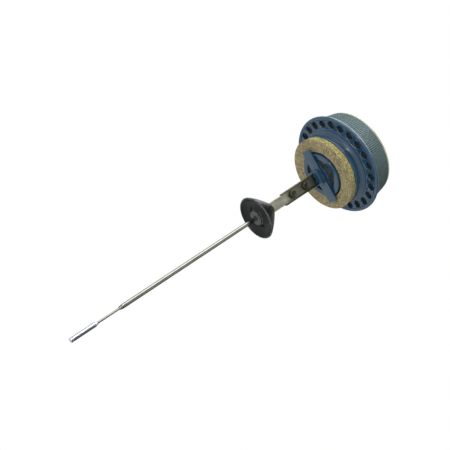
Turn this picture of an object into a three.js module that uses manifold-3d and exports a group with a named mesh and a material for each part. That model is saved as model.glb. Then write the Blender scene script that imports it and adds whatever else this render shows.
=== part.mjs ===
// Soil thermometer probe: a vented, cork-sealed head with a dial on top, a spring-loaded locking bar
// below it, and a long stainless stem that ends in a sensing bulb.
// Millimetres, +Z up. The origin is the centre of the cork ring's lower face, which seats on the mouth
// of the soil access tube. The stem hangs down -Z. The locking bar lies along X.

import * as THREE from "three";
import { mergeVertices } from "three/addons/utils/BufferGeometryUtils.js";
import Module from "manifold-3d";

const wasm = await Module();
wasm.setup();

// ---------- driving dimensions ----------

const gap = 0.3; // between pieces that touch on the real object
const ringSegments = 48;
const smallSegments = 24;
const hiddenSegments = 24;

// head casting, from the cork up to the vent face
const corkRadius = 38.8;
const corkTopRadius = 37.8;
const corkHole = 24.7;
const corkHeight = 7.9;
const castingBore = 24.2;
const lipRadius = 38.3;
const lipTop = 11.8;
const castingFloor = 10.0;
const neckRadius = 34.5;
const neckHeight = 16.0;
const neckWall = 1.7;
const ventFaceInner = 38.9;
const ventFaceHeight = 20.8;
const ventWallTop = 22.6;
const rimRadius = 53.4;
const rimInner = 49.6;
const rimTop = 24.6;
const drumSeatRadius = 50.9;
const ventCount = 24;
const ventCircle = 45.3;
const ventRadius = 3.85;

// tapered drum and what closes its top
const drumBottom = ventWallTop + gap;
const drumBottomRadius = 49.6;
const drumTop = 46.5;
const drumTopRadius = 45.3;
const drumWall = 1.6;
const dialBore = 43.6;
const ledgeRadius = 41.0;
const ledgeBottom = 40.2;
const ledgeTop = 41.3;
const gripThickness = 0.6;
const gripTop = 46.3;
const dialRadius = 43.2;
const dialBottom = ledgeTop + gap;
const dialTop = 42.4;
const spacerTop = 44.5;
const gasketTop = 45.6;
const lensBottom = gasketTop + gap;
const lensTop = 47.3;
const bezelTop = 48.8;
const bezelBore = 40.5;

// hub cup that guides the spindle
const hubRadius = 23.5;
const hubWall = 1.5;
const hubBottom = -2.0;
const hubFloor = -0.4;
const hubFlangeRadius = 31.5;
const hubBossRadius = 5.5;
const hubBossTop = 3.0;
const windowRadius = 18.2;
const windowChord = 7.0;
const windowBoss = 10.0;
const hubScrewCircle = 28;
const hubScrewShank = 1.3;

// locking bar, spindle and spring
const barLength = 58;
const barWidth = 12.5;
const barTop = -2.6;
const barBottom = -4.4;
const spindleRadius = 3.0;
const spindleClearance = 0.09;
const spindleStud = 2.2;
const spindleBore = 1.2;
const spindleTop = 19.2;
const springWire = 0.8;
const springRadius = 5.0;
const springTurns = 4.5;
const springTop = 15.3;

// stem: saddle, bracket, strip, rubber cone, tube, neck and bulb
const saddleLength = 15;
const saddleWidth = 14;
const saddleTop = barBottom - gap;
const saddleBottom = -9.8;
const bracketWidth = 12.7;
const sheet = 1.5;
const flangeSheet = 1.1;
const bracketBack = 2.7;
const bracketDepth = 4.5;
const bracketTop = -7.5;
const bracketBottom = -54.3;
const stripWidth = 10.2;
const stripFront = -0.6;
const stripTop = -13;
const stripBottom = -74.2;
const rivetHeights = [-24.6, -42.3];
const rivetHead = 4.0;
const rivetShank = 1.9;
const coneTop = -72;
const coneRim = -91.8;
const coneRadius = 22;
const coneBossRadius = 7.7;
const ferruleRadius = 4.2;
const ferruleTop = -76.4;
const ferruleBottom = -86;
const tubeRadius = 2.1;
const tubeBore = 1.5;
const tubeTop = -79.3;
const tubeBottom = -252.7;
const neckTubeRadius = 1.0;
const bulbRadius = 2.15;
const bulbTop = -275.7;
const bulbBottom = -302.8;

// movement
const arborRadius = 1.5;
const runningClearance = 0.05;
const movementRadius = 24;
const movementBottom = 26.0;
const movementTop = 27.5;
const pillarCircle = 20;
const pillarRadius = 2.2;
const pillarStud = 1.1;
const bushRadius = 2.6;
const coilInner = 4.0;
const coilOuter = 12.0;
const coilTurns = 3;
const coilBottom = 29.0;
const coilTop = 34.0;
const anchorCircle = 15.4;
const anchorRadius = 2.6;
const pointerBottom = 43.1;
const pointerTop = 43.7;
const pointerLength = 34;
const pointerLimit = 135;
const stopCircle = 29;
const stopRadius = 0.6;

// ---------- materials ----------

function finish(color, roughness, metalness) {
  return new THREE.MeshStandardMaterial({ color, roughness, metalness });
}

const blueEnamel = finish(0x3f6078, 0.3, 0.35);
const cork = finish(0xa89664, 0.9, 0);
const gripSteel = finish(0x5f7373, 0.5, 0.6);
const creamEnamel = finish(0xd8d6b8, 0.35, 0.1);
const dialWhite = finish(0xf0eee4, 0.6, 0);
const lensClear = finish(0xe8f0f0, 0.05, 0);
const blackRubber = finish(0x232626, 0.55, 0);
const greyWasher = finish(0x484a4c, 0.6, 0);
const passivated = finish(0x96967a, 0.4, 0.8);
const stainless = finish(0xb4b4ac, 0.2, 1);
const chromed = finish(0xd8dde4, 0.08, 1);
const rivetSteel = finish(0x4a4a44, 0.35, 0.9);
const brass = finish(0xb08d4a, 0.3, 1);
const springSteel = finish(0x8c8c8c, 0.35, 1);
const darkFelt = finish(0x2a2c2c, 1, 0);
const pointerRed = finish(0xa02a22, 0.5, 0);

// ---------- geometry helpers ----------

function signedArea(points) {
  let area = 0;
  points.forEach(([x, y], i) => {
    const [nextX, nextY] = points[(i + 1) % points.length];
    area += (x * nextY - nextX * y) / 2;
  });
  return area;
}

// Turns an outline of [radius, height] points about Z. A ring's outline is closed on itself; an outline
// that starts and ends on the axis makes a solid without a hole.
function turned(outline, segments = smallSegments) {
  const points = signedArea(outline) > 0 ? [...outline] : [...outline].reverse();
  const onAxis = points.some(([radius]) => radius === 0);
  if (onAxis) {
    while (points[0][0] !== 0 || points[points.length - 1][0] !== 0) points.push(points.shift());
  } else {
    points.push(points[0]);
  }
  const profile = points.map(([radius, height]) => new THREE.Vector2(radius, height));
  return new THREE.LatheGeometry(profile, segments).rotateX(Math.PI / 2);
}

function cylinder(radius, bottom, top, segments = smallSegments) {
  return turned([[0, bottom], [radius, bottom], [radius, top], [0, top]], segments);
}

function ring(inner, outer, bottom, top, segments = ringSegments) {
  return turned([[inner, bottom], [outer, bottom], [outer, top], [inner, top]], segments);
}

function block([x0, x1], [y0, y1], [z0, z1]) {
  const box = new THREE.BoxGeometry(x1 - x0, y1 - y0, z1 - z0);
  return box.translate((x0 + x1) / 2, (y0 + y1) / 2, (z0 + z1) / 2);
}

// A flat outline of [x, y] points, raised from one height to another.
function plate(outline, bottom, top) {
  const shape = new THREE.Shape(outline.map(([x, y]) => new THREE.Vector2(x, y)));
  const depth = top - bottom;
  return new THREE.ExtrudeGeometry(shape, { depth, bevelEnabled: false }).translate(0, 0, bottom);
}

// Points on a circle about Z: count of them, starting at a first angle in degrees.
function aroundCircle(radius, count, firstDegrees = 0) {
  return Array.from({ length: count }, (_, i) => {
    const angle = THREE.MathUtils.degToRad(firstDegrees + (360 * i) / count);
    return [radius * Math.cos(angle), radius * Math.sin(angle)];
  });
}

// A round wire along a curve.
function wire(curve, radius, steps, sides) {
  const shape = new THREE.Shape(aroundCircle(radius, sides).map(([x, y]) => new THREE.Vector2(x, y)));
  return new THREE.ExtrudeGeometry(shape, { steps, extrudePath: curve, bevelEnabled: false });
}

function solid(geometry) {
  const bare = geometry.clone();
  bare.deleteAttribute("normal");
  bare.deleteAttribute("uv");
  const merged = mergeVertices(bare, 1e-4);
  const vertProperties = new Float32Array(merged.attributes.position.array);
  const triVerts = new Uint32Array(merged.index.array);
  return new wasm.Manifold(new wasm.Mesh({ numProp: 3, vertProperties, triVerts }));
}

function geometryOf(manifold) {
  const mesh = manifold.getMesh();
  const geometry = new THREE.BufferGeometry();
  geometry.setAttribute("position", new THREE.BufferAttribute(new Float32Array(mesh.vertProperties), 3));
  geometry.setIndex(new THREE.BufferAttribute(new Uint32Array(mesh.triVerts), 1));
  geometry.computeVertexNormals();
  return geometry;
}

function cut(geometry, ...tools) {
  return geometryOf(tools.reduce((body, tool) => body.subtract(solid(tool)), solid(geometry)));
}

function joined(geometry, ...others) {
  return geometryOf(others.reduce((body, other) => body.add(solid(other)), solid(geometry)));
}

function drumRadiusAt(height) {
  const share = (height - drumBottom) / (drumTop - drumBottom);
  return THREE.MathUtils.lerp(drumBottomRadius, drumTopRadius, share);
}

// ---------- the group ----------

const probe = new THREE.Group();

function add(name, geometry, material) {
  const mesh = new THREE.Mesh(geometry, material);
  mesh.name = name;
  probe.add(mesh);
  return mesh;
}

// ---------- head casting and seals ----------

function addVentFlange() {
  const neckSteps = 5;
  const neckOutline = [];
  for (let i = 0; i <= neckSteps; i += 1) {
    const share = i / neckSteps;
    const height = THREE.MathUtils.lerp(lipTop, ventFaceHeight, share);
    const edge = THREE.MathUtils.lerp(lipRadius, ventFaceInner, share);
    const middle = (lipRadius + ventFaceInner) / 2;
    neckOutline.push([edge - (middle - neckRadius) * Math.sin(Math.PI * share), height]);
  }
  const rimOutline = [
    [rimInner, ventFaceHeight],
    [rimInner + 0.5, ventFaceHeight + 0.5],
    [rimInner + 1.2, ventFaceHeight - 0.1],
    [rimRadius - 0.8, ventFaceHeight + 0.3],
    [rimRadius, ventFaceHeight + 1.5],
    [rimRadius - 1.0, rimTop],
  ];
  const insideOutline = [
    [drumSeatRadius, rimTop],
    [drumSeatRadius, ventWallTop],
    [ventFaceInner + 0.5, ventWallTop],
    [neckRadius - neckWall, neckHeight + 1.5],
    [neckRadius - neckWall, castingFloor],
    [castingBore, castingFloor],
    [castingBore, corkHeight + gap],
  ];
  const outline = [[lipRadius, corkHeight + gap], ...neckOutline, ...rimOutline, ...insideOutline];
  const vents = aroundCircle(ventCircle, ventCount).map(([x, y]) =>
    cylinder(ventRadius, ventFaceHeight - 1, ventWallTop + 1, 10).translate(x, y, 0),
  );
  const screwHoles = aroundCircle(hubScrewCircle, 3, 90).map(([x, y]) =>
    cylinder(hubScrewShank + gap, corkHeight, castingFloor + 1, 10).translate(x, y, 0),
  );
  add("vent_flange", cut(turned(outline, ringSegments), ...vents, ...screwHoles), blueEnamel);
}

function addCorkRing() {
  const outline = [
    [corkHole, 0],
    [corkRadius - 0.4, 0],
    [corkRadius, 0.4],
    [corkTopRadius, corkHeight],
    [corkHole, corkHeight],
  ];
  add("cork_ring", turned(outline, ringSegments), cork);
}

function hubWindow(side) {
  const points = [];
  const outerEnd = Math.asin(windowChord / windowRadius);
  const innerEnd = Math.asin(windowChord / windowBoss);
  const steps = 10;
  for (let i = 0; i <= steps; i += 1) {
    const angle = THREE.MathUtils.lerp(outerEnd, Math.PI - outerEnd, i / steps);
    points.push([windowRadius * Math.cos(angle), side * windowRadius * Math.sin(angle)]);
  }
  for (let i = 0; i <= steps; i += 1) {
    const angle = THREE.MathUtils.lerp(Math.PI - innerEnd, innerEnd, i / steps);
    points.push([windowBoss * Math.cos(angle), side * windowBoss * Math.sin(angle)]);
  }
  return plate(points, hubBottom - 1, hubFloor + 1);
}

function addHubCup() {
  const flangeBottom = castingFloor + gap;
  const outline = [
    [spindleRadius + spindleClearance, hubBottom],
    [hubRadius - 0.6, hubBottom],
    [hubRadius, hubBottom + 0.6],
    [hubRadius, flangeBottom],
    [hubFlangeRadius, flangeBottom],
    [hubFlangeRadius, flangeBottom + hubWall],
    [hubRadius - hubWall, flangeBottom + hubWall],
    [hubRadius - hubWall, hubFloor],
    [hubBossRadius, hubFloor],
    [hubBossRadius, hubBossTop],
    [spindleRadius + spindleClearance, hubBossTop],
  ];
  const screwHoles = aroundCircle(hubScrewCircle, 3, 90).map(([x, y]) =>
    cylinder(hubScrewShank + gap, castingFloor, flangeBottom + hubWall + 1, 10).translate(x, y, 0),
  );
  const cup = cut(turned(outline, ringSegments), hubWindow(1), hubWindow(-1), ...screwHoles);
  add("hub_cup", cup, blueEnamel);
  aroundCircle(hubScrewCircle, 3, 90).forEach(([x, y], i) => {
    const headBottom = flangeBottom + hubWall + gap;
    const screw = [
      [0, corkHeight + 2 * gap],
      [hubScrewShank, corkHeight + 2 * gap],
      [hubScrewShank, headBottom],
      [2.6, headBottom],
      [2.6, headBottom + 1.4],
      [0, headBottom + 1.8],
    ];
    add(`hub_screw_${i + 1}`, turned(screw, 12), passivated).position.set(x, y, 0);
  });
}

function addFilters() {
  const screenBottom = hubFloor + gap;
  const screenOuter = hubRadius - hubWall - 0.4;
  const screenTop = screenBottom + 0.6;
  const screen = ring(hubBossRadius + 0.4, screenOuter, screenBottom, screenTop, hiddenSegments);
  add("filter_screen", screen, springSteel);
  const feltTop = drumBottom + 2.3;
  add("air_filter_ring", ring(40.8, 47.2, drumBottom, feltTop, hiddenSegments), darkFelt);
  const retainer = ring(40.8, 47.0, feltTop + gap, feltTop + gap + 0.8, hiddenSegments);
  add("filter_retainer", retainer, springSteel);
}

// ---------- drum and dial stack ----------

function addDrum() {
  const outline = [
    [drumBottomRadius, drumBottom],
    [drumTopRadius, drumTop],
    [dialBore, drumTop],
    [dialBore, ledgeTop],
    [ledgeRadius, ledgeTop],
    [ledgeRadius, ledgeBottom],
    [drumRadiusAt(ledgeBottom - 3) - drumWall, ledgeBottom - 3],
    [drumBottomRadius - drumWall, drumBottom],
  ];
  add("drum_shell", turned(outline, ringSegments), blueEnamel);
  const gripBottom = rimTop + gap;
  const inner = gap;
  const outer = gap + gripThickness;
  const grip = [
    [drumRadiusAt(gripBottom) + inner, gripBottom],
    [drumRadiusAt(gripBottom) + outer, gripBottom],
    [drumRadiusAt(gripTop) + outer, gripTop],
    [drumRadiusAt(gripTop) + inner, gripTop],
  ];
  add("grip_mesh", turned(grip, ringSegments), gripSteel);
}

function addDialStack() {
  const holes = [
    cylinder(bushRadius + gap, dialBottom - 1, dialTop + 1, 16),
    ...aroundCircle(pillarCircle, 3, 90).map(([x, y]) =>
      cylinder(pillarStud + gap, dialBottom - 1, dialTop + 1, 10).translate(x, y, 0),
    ),
    ...stopPinPlaces().map(([x, y]) =>
      cylinder(stopRadius + gap, dialBottom - 1, dialTop + 1, 10).translate(x, y, 0),
    ),
  ];
  add("dial_plate", cut(cylinder(dialRadius, dialBottom, dialTop, ringSegments), ...holes), dialWhite);
  add("dial_spacer", ring(41.6, dialRadius, dialTop + gap, spacerTop, hiddenSegments), creamEnamel);
  add("lens_gasket", ring(41.2, dialRadius, spacerTop + gap, gasketTop, hiddenSegments), blackRubber);
  add("dial_lens", cylinder(dialRadius, lensBottom, lensTop, ringSegments), lensClear);
  const bezel = [
    [bezelBore, lensTop + gap],
    [dialBore, lensTop + gap],
    [dialBore, drumTop + gap],
    [drumTopRadius + 0.5, drumTop + gap],
    [drumTopRadius + 0.5, bezelTop - 0.6],
    [drumTopRadius - 0.1, bezelTop],
    [bezelBore + 0.4, bezelTop],
    [bezelBore, bezelTop - 0.4],
  ];
  add("bezel_ring", turned(bezel, ringSegments), creamEnamel);
}

// ---------- movement ----------

function stopPinPlaces() {
  return [-1, 1].map((side) => {
    const angle = THREE.MathUtils.degToRad(90 + side * (pointerLimit + 4));
    return [stopCircle * Math.cos(angle), stopCircle * Math.sin(angle)];
  });
}

function addMovementFrame() {
  const pillars = aroundCircle(pillarCircle, 3, 90);
  const holes = [
    cylinder(arborRadius + runningClearance, movementBottom - 1, movementTop + 1),
    cylinder(1.6 + gap, movementBottom - 1, movementTop + 1, 16).translate(anchorCircle, 0, 0),
    ...pillars.map(([x, y]) =>
      cylinder(pillarStud + gap, movementBottom - 1, movementTop + 1, 10).translate(x, y, 0),
    ),
  ];
  const disc = cylinder(movementRadius, movementBottom, movementTop, 36);
  add("movement_plate", cut(disc, ...holes), brass);
  const pillar = [
    [0, movementBottom - 1.2],
    [pillarStud, movementBottom - 1.2],
    [pillarStud, movementTop + gap],
    [pillarRadius, movementTop + gap],
    [pillarRadius, dialBottom - gap],
    [pillarStud, dialBottom - gap],
    [pillarStud, dialTop + 0.5],
    [0, dialTop + 0.5],
  ];
  pillars.forEach(([x, y], i) => {
    add(`movement_pillar_${i + 1}`, turned(pillar, 12), brass).position.set(x, y, 0);
  });
  const bore = arborRadius + runningClearance;
  const bush = [
    [bore, dialBottom - 4],
    [4.2, dialBottom - 4],
    [4.2, dialBottom - gap],
    [bushRadius, dialBottom - gap],
    [bushRadius, dialTop + 0.2],
    [bore, dialTop + 0.2],
  ];
  add("arbor_bush", turned(bush), brass);
  stopPinPlaces().forEach(([x, y], i) => {
    const name = ["stop_pin_high", "stop_pin_low"][i];
    add(name, cylinder(stopRadius, dialBottom - 0.4, pointerTop + 0.6, 10), brass).position.set(x, y, 0);
  });
}

// A flat spiral ribbon from the arbor's collar out to the anchor.
function addBourdonCoil() {
  const ribbon = 0.6;
  const stepsPerTurn = 20;
  const steps = coilTurns * stepsPerTurn;
  const outside = [];
  const inside = [];
  for (let i = 0; i <= steps; i += 1) {
    const angle = (2 * Math.PI * i) / stepsPerTurn;
    const radius = THREE.MathUtils.lerp(coilInner, coilOuter, i / steps);
    outside.push([(radius + ribbon) * Math.cos(angle), (radius + ribbon) * Math.sin(angle)]);
    inside.push([radius * Math.cos(angle), radius * Math.sin(angle)]);
  }
  add("bourdon_coil", plate([...outside, ...inside.reverse()], coilBottom, coilTop), brass);
  const anchor = [
    [0, movementBottom - 1.6],
    [1.6, movementBottom - 1.6],
    [1.6, movementTop + gap],
    [anchorRadius, movementTop + gap],
    [anchorRadius, coilTop + 0.4],
    [0, coilTop + 0.4],
  ];
  add("coil_anchor", turned(anchor, 16), brass).position.set(anchorCircle, 0, 0);
}

function addPointer() {
  const arbor = [
    [0, movementBottom - 0.6],
    [arborRadius, movementBottom - 0.6],
    [arborRadius, coilBottom],
    [coilInner - 0.4, coilBottom],
    [coilInner - 0.4, coilTop],
    [arborRadius, coilTop],
    [arborRadius, pointerBottom - gap],
    [1.0, pointerBottom - gap],
    [1.0, pointerTop + 0.3],
    [0, pointerTop + 0.3],
  ];
  add("pointer_arbor", turned(arbor), stainless);
  const needle = [
    [-1.4, -12],
    [1.4, -12],
    [1.0, 0],
    [0.9, 20],
    [0, pointerLength],
    [-0.9, 20],
    [-1.0, 0],
  ];
  const boss = cylinder(3.4, pointerBottom, pointerTop, 20);
  const hole = cylinder(1.0 + gap, pointerBottom - 1, pointerTop + 1, 16);
  const body = joined(plate(needle, pointerBottom, pointerTop), boss);
  add("pointer", cut(body, hole), pointerRed);
  const cap = [
    [0, pointerTop + 2 * gap],
    [2.8, pointerTop + 2 * gap],
    [2.6, pointerTop + 1.2],
    [1.6, pointerTop + 1.7],
    [0, pointerTop + 1.8],
  ];
  add("pointer_cap", turned(cap, 16), brass);
}

// ---------- lock: bar, spindle, spring ----------

class Helix extends THREE.Curve {
  constructor(radius, turns, bottom, top) {
    super();
    Object.assign(this, { radius, turns, bottom, top });
  }

  getPoint(share, target = new THREE.Vector3()) {
    const angle = 2 * Math.PI * this.turns * share;
    const height = THREE.MathUtils.lerp(this.bottom, this.top, share);
    return target.set(this.radius * Math.cos(angle), this.radius * Math.sin(angle), height);
  }
}

function addLock() {
  const half = barLength / 2;
  const across = barWidth / 2;
  const corner = 1.6;
  const outline = [
    [-half + corner, -across],
    [half - corner, -across],
    [half, -across + corner],
    [half, across - corner],
    [half - corner, across],
    [-half + corner, across],
    [-half, across - corner],
    [-half, -across + corner],
  ];
  const hole = cylinder(spindleStud + gap, barBottom - 1, barTop + 1, 16);
  add("lock_bar", cut(plate(outline, barBottom, barTop), hole), blueEnamel);
  const peenBottom = barBottom - gap - 1.3;
  const spindle = [
    [spindleBore, peenBottom],
    [3.4, peenBottom],
    [3.4, barBottom - gap],
    [spindleStud, barBottom - gap],
    [spindleStud, barTop + gap],
    [spindleRadius, barTop + gap],
    [spindleRadius, springTop + gap + 1.3],
    [2.1, springTop + gap + 1.3],
    [2.1, springTop + gap + 2.7],
    [spindleRadius, springTop + gap + 2.7],
    [spindleRadius, spindleTop],
    [spindleBore, spindleTop],
  ];
  add("spindle", turned(spindle), stainless);
  const washerBottom = springTop + gap;
  add("spring_washer", ring(spindleRadius + gap, 7.4, washerBottom, washerBottom + 1.0, 24), springSteel);
  const clip = ring(2.4, 5.2, washerBottom + 1.5, washerBottom + 2.5, 24);
  const mouth = block([-1.7, 1.7], [-6, -1], [washerBottom, washerBottom + 4]);
  add("spindle_clip", cut(clip, mouth), springSteel);
  const springBottom = hubBossTop + gap;
  const helix = new Helix(springRadius, springTurns, springBottom + springWire, springTop - springWire);
  add("lock_spring", wire(helix, springWire, 60, 6), springSteel);
}

// ---------- stem ----------

// The bracket's U section, grown by a margin on every side.
function bracketSection(margin) {
  const x = bracketWidth / 2 + margin;
  const back = bracketBack + margin;
  const front = bracketBack - bracketDepth - margin;
  const innerX = bracketWidth / 2 - flangeSheet - margin;
  const innerY = bracketBack - sheet - margin;
  return [[-x, front], [-innerX, front], [-innerX, innerY], [innerX, innerY], [innerX, front], [x, front],
    [x, back], [-x, back]];
}

function rivetHole(height, radius) {
  return cylinder(radius, -6, 6, 16).rotateX(Math.PI / 2).translate(0, 0, height);
}

function addSaddleAndBracket() {
  const halfX = saddleLength / 2;
  const halfY = saddleWidth / 2;
  const bevel = 1.0;
  const outline = [
    [-halfX + bevel, -halfY],
    [halfX - bevel, -halfY],
    [halfX, -halfY + bevel],
    [halfX, halfY - bevel],
    [halfX - bevel, halfY],
    [-halfX + bevel, halfY],
    [-halfX, halfY - bevel],
    [-halfX, -halfY + bevel],
  ];
  const pocket = cylinder(3.9, saddleTop - 1.9, saddleTop + 1, 24);
  const slot = plate(bracketSection(gap), saddleBottom - 1, bracketTop + gap);
  const channel = block([-1.2, 1.2], [0, 5.6], [saddleBottom - 1, saddleTop + 1]);
  add("stem_saddle", cut(plate(outline, saddleBottom, saddleTop), pocket, slot, channel), blueEnamel);
  const holes = rivetHeights.map((height) => rivetHole(height, rivetShank + gap));
  const channelBody = plate(bracketSection(0), bracketBottom, bracketTop);
  add("stem_bracket", cut(channelBody, ...holes), passivated);
  const half = stripWidth / 2;
  const strip = block([-half, half], [stripFront, stripFront + sheet], [stripBottom, stripTop]);
  add("stem_strip", cut(strip, ...holes), stainless);
  rivetHeights.forEach((height, i) => {
    const front = stripFront - gap;
    const tail = bracketBack + gap;
    // the outline runs along the rivet: height 0 is the stem's axis, and heights grow towards -Y
    const rivet = [
      [0, -tail - 1.0],
      [2.4, -tail - 1.0],
      [2.9, -tail],
      [rivetShank, -tail],
      [rivetShank, -front],
      [rivetHead, -front],
      [rivetHead - 0.5, -front + 1.0],
      [rivetHead - 2.0, -front + 1.9],
      [0, -front + 2.2],
    ];
    const body = turned(rivet, 20).rotateX(Math.PI / 2).translate(0, 0, height);
    add(["upper_rivet", "lower_rivet"][i], body, rivetSteel);
  });
}

function addCone() {
  const bossBottom = coneRim + 1.5;
  const outline = [
    [tubeRadius + gap, bossBottom],
    [coneBossRadius, bossBottom],
    [coneBossRadius + 0.6, coneRim + 6.2],
    [12.9, coneRim + 6.4],
    [17.0, coneRim + 3.8],
    [20.4, coneRim],
    [coneRadius - 0.4, coneRim],
    [coneRadius, coneRim + 0.8],
    [18.4, coneRim + 6.0],
    [13.5, coneRim + 11.6],
    [7.4, coneTop - 1.4],
    [5.8, coneTop],
    [0, coneTop],
    [0, coneTop - 3.0],
    [ferruleRadius + gap, coneTop - 3.0],
    [ferruleRadius + gap, ferruleBottom - gap],
    [tubeRadius + gap, ferruleBottom - gap],
  ];
  const half = stripWidth / 2 + gap;
  const stripSlot = block([-half, half], [stripFront - gap, stripFront + sheet + gap + 1.5], [-76, -70]);
  add("cone_seal", cut(turned(outline, 36), stripSlot), blackRubber);
  const washerTop = bossBottom - gap;
  add("cone_washer", ring(tubeRadius + 0.2, coneBossRadius - 0.3, coneRim + 0.1, washerTop, 24), greyWasher);
  const ferrule = [
    [0.9, ferruleTop],
    [ferruleRadius, ferruleTop],
    [ferruleRadius, ferruleBottom],
    [tubeRadius + 0.2, ferruleBottom],
    [tubeRadius + 0.2, tubeTop + gap],
    [0.9, tubeTop + gap],
  ];
  add("tube_ferrule", turned(ferrule, 24), brass);
}

function addTubeAndBulb() {
  const taper = 3;
  const tube = [
    [tubeBore, tubeTop],
    [tubeRadius, tubeTop],
    [tubeRadius, tubeBottom + taper],
    [neckTubeRadius + 0.55, tubeBottom],
    [neckTubeRadius + 0.15, tubeBottom],
    [neckTubeRadius + 0.15, tubeBottom + taper - 1],
    [tubeBore, tubeBottom + taper],
  ];
  add("probe_tube", turned(tube), stainless);
  const neckTop = tubeBottom + 6;
  add("bulb_neck", ring(0.45, neckTubeRadius, bulbTop - 2.5, neckTop, 16), stainless);
  const shoulder = 2.2;
  const bulb = [
    [0, bulbBottom],
    [bulbRadius - 0.35, bulbBottom],
    [bulbRadius, bulbBottom + 0.35],
    [bulbRadius, bulbTop - shoulder],
    [bulbRadius - 0.35, bulbTop - shoulder + 1.0],
    [neckTubeRadius + 0.5, bulbTop],
    [neckTubeRadius + 0.15, bulbTop],
    [neckTubeRadius + 0.15, bulbTop - shoulder],
    [bulbRadius - 0.45, bulbTop - shoulder - 1],
    [bulbRadius - 0.45, bulbBottom + 1.2],
    [0, bulbBottom + 1.2],
  ];
  add("sensing_bulb", turned(bulb), chromed);
}

// The capillary from the bulb's neck up the tube, behind the strip and bracket, and through the spindle.
function addCapillary() {
  const behind = bracketBack + 0.9;
  const side = -4.2;
  const points = [
    [0, 0, spindleTop + 0.8],
    [0, 0, 12],
    [0, 0, 4],
    [0, 0, -3],
    [0, 0.1, -5.7],
    [0, 0.8, -6.7],
    [0, 2.4, -6.8],
    [0, 4.0, -7.3],
    [0, 4.5, -9],
    [-0.6, 4.2, -12],
    [side + 0.8, behind, -17],
    [side, behind, -21],
    [side, behind, -35],
    [side, behind, -50],
    [side + 0.4, behind, -55],
    [side + 1.8, behind - 1, -61],
    [-1.0, 2.1, -67],
    [0, 1.6, -71],
    [0, 1.45, -73.6],
    [0, 0.5, -75.4],
    [0, 0, -76.8],
    [0, 0, -81],
    [0, 0, -120],
    [0, 0, -180],
    [0, 0, tubeBottom + 6.5],
  ];
  const curve = new THREE.CatmullRomCurve3(points.map((p) => new THREE.Vector3(...p)), false, "centripetal");
  add("capillary_line", wire(curve, 0.4, 80, 5), brass);
}

// The loose loop between the spindle, which travels, and the anchor, which doesn't.
function addPigtail() {
  const start = spindleTop + 0.8 + gap;
  const end = movementBottom - 1.6 - gap;
  const points = [[0, 0, start]];
  const steps = 9;
  for (let i = 1; i < steps; i += 1) {
    const share = i / steps;
    const angle = 2 * Math.PI * share;
    const radius = anchorCircle * Math.sqrt(share);
    const height = THREE.MathUtils.lerp(start + 1, end - 1.4, share);
    points.push([radius * Math.cos(angle), radius * Math.sin(angle), height]);
  }
  points.push([anchorCircle, 0, end - 0.8], [anchorCircle, 0, end]);
  const curve = new THREE.CatmullRomCurve3(points.map((p) => new THREE.Vector3(...p)), false, "centripetal");
  add("capillary_pigtail", wire(curve, 0.4, 36, 5), brass);
}

addVentFlange();
addCorkRing();
addHubCup();
addFilters();
addDrum();
addDialStack();
addMovementFrame();
addBourdonCoil();
addPointer();
addLock();
addSaddleAndBracket();
addCone();
addTubeAndBulb();
addCapillary();
addPigtail();

export default probe;
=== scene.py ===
# %% [markdown]
# # A soil thermometer probe, piece by piece
#
# This lesson builds the looks of a soil thermometer around its finished mechanical model. The head is a
# blue enamelled casting with a cork seal and a ring of vents. A spring-loaded bar below it locks the
# head into a tube in the ground. A long stainless stem hangs from the bar and ends in a sensing bulb,
# and a dial on top shows the temperature. The mechanical model gives every place and size; each cell
# here makes one piece or one finish, and says why it is made that way.

# %% Load the mechanical frame
import math
from types import SimpleNamespace

import bpy
from mathutils import Matrix, Vector, noise


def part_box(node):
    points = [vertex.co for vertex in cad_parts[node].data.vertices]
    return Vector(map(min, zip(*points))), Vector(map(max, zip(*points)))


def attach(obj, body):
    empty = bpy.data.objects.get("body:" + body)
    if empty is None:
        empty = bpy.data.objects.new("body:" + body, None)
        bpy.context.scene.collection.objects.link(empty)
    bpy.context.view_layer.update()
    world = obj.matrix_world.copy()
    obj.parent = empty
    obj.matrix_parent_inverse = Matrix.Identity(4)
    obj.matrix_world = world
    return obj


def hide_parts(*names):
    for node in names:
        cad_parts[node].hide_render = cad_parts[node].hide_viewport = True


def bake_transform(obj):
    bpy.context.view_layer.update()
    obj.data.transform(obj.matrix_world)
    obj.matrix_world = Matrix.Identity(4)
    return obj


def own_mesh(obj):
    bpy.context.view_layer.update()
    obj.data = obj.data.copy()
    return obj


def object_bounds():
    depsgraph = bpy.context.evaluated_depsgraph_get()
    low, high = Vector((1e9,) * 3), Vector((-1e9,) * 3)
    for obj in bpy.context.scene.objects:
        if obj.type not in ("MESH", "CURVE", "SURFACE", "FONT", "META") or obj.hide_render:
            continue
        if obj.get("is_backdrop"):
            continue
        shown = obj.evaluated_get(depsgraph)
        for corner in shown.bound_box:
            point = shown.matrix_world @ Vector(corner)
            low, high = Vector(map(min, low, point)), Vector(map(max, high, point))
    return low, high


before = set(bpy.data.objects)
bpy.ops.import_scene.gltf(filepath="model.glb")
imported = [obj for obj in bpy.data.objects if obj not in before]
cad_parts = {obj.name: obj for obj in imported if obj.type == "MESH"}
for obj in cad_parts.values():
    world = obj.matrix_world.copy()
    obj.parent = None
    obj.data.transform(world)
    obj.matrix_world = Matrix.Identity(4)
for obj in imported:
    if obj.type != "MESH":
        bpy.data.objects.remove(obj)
cad_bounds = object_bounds()
mm = 0.001

# %% [markdown]
# The outer size and place of every piece come from the frame. A node's box gives its lowest and highest
# corner, and for a turned piece that is its radius, its bottom and its top. The helper returns them in
# millimetres, which is how a maker would read a drawing. The smaller steps inside a piece are written
# in its own cell, and the meshes turn into metres when they are made.


# %% Read a node's size, and add an object
def add_object(name, data):
    thing = bpy.data.objects.new(name, data)
    bpy.context.collection.objects.link(thing)
    return thing


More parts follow.
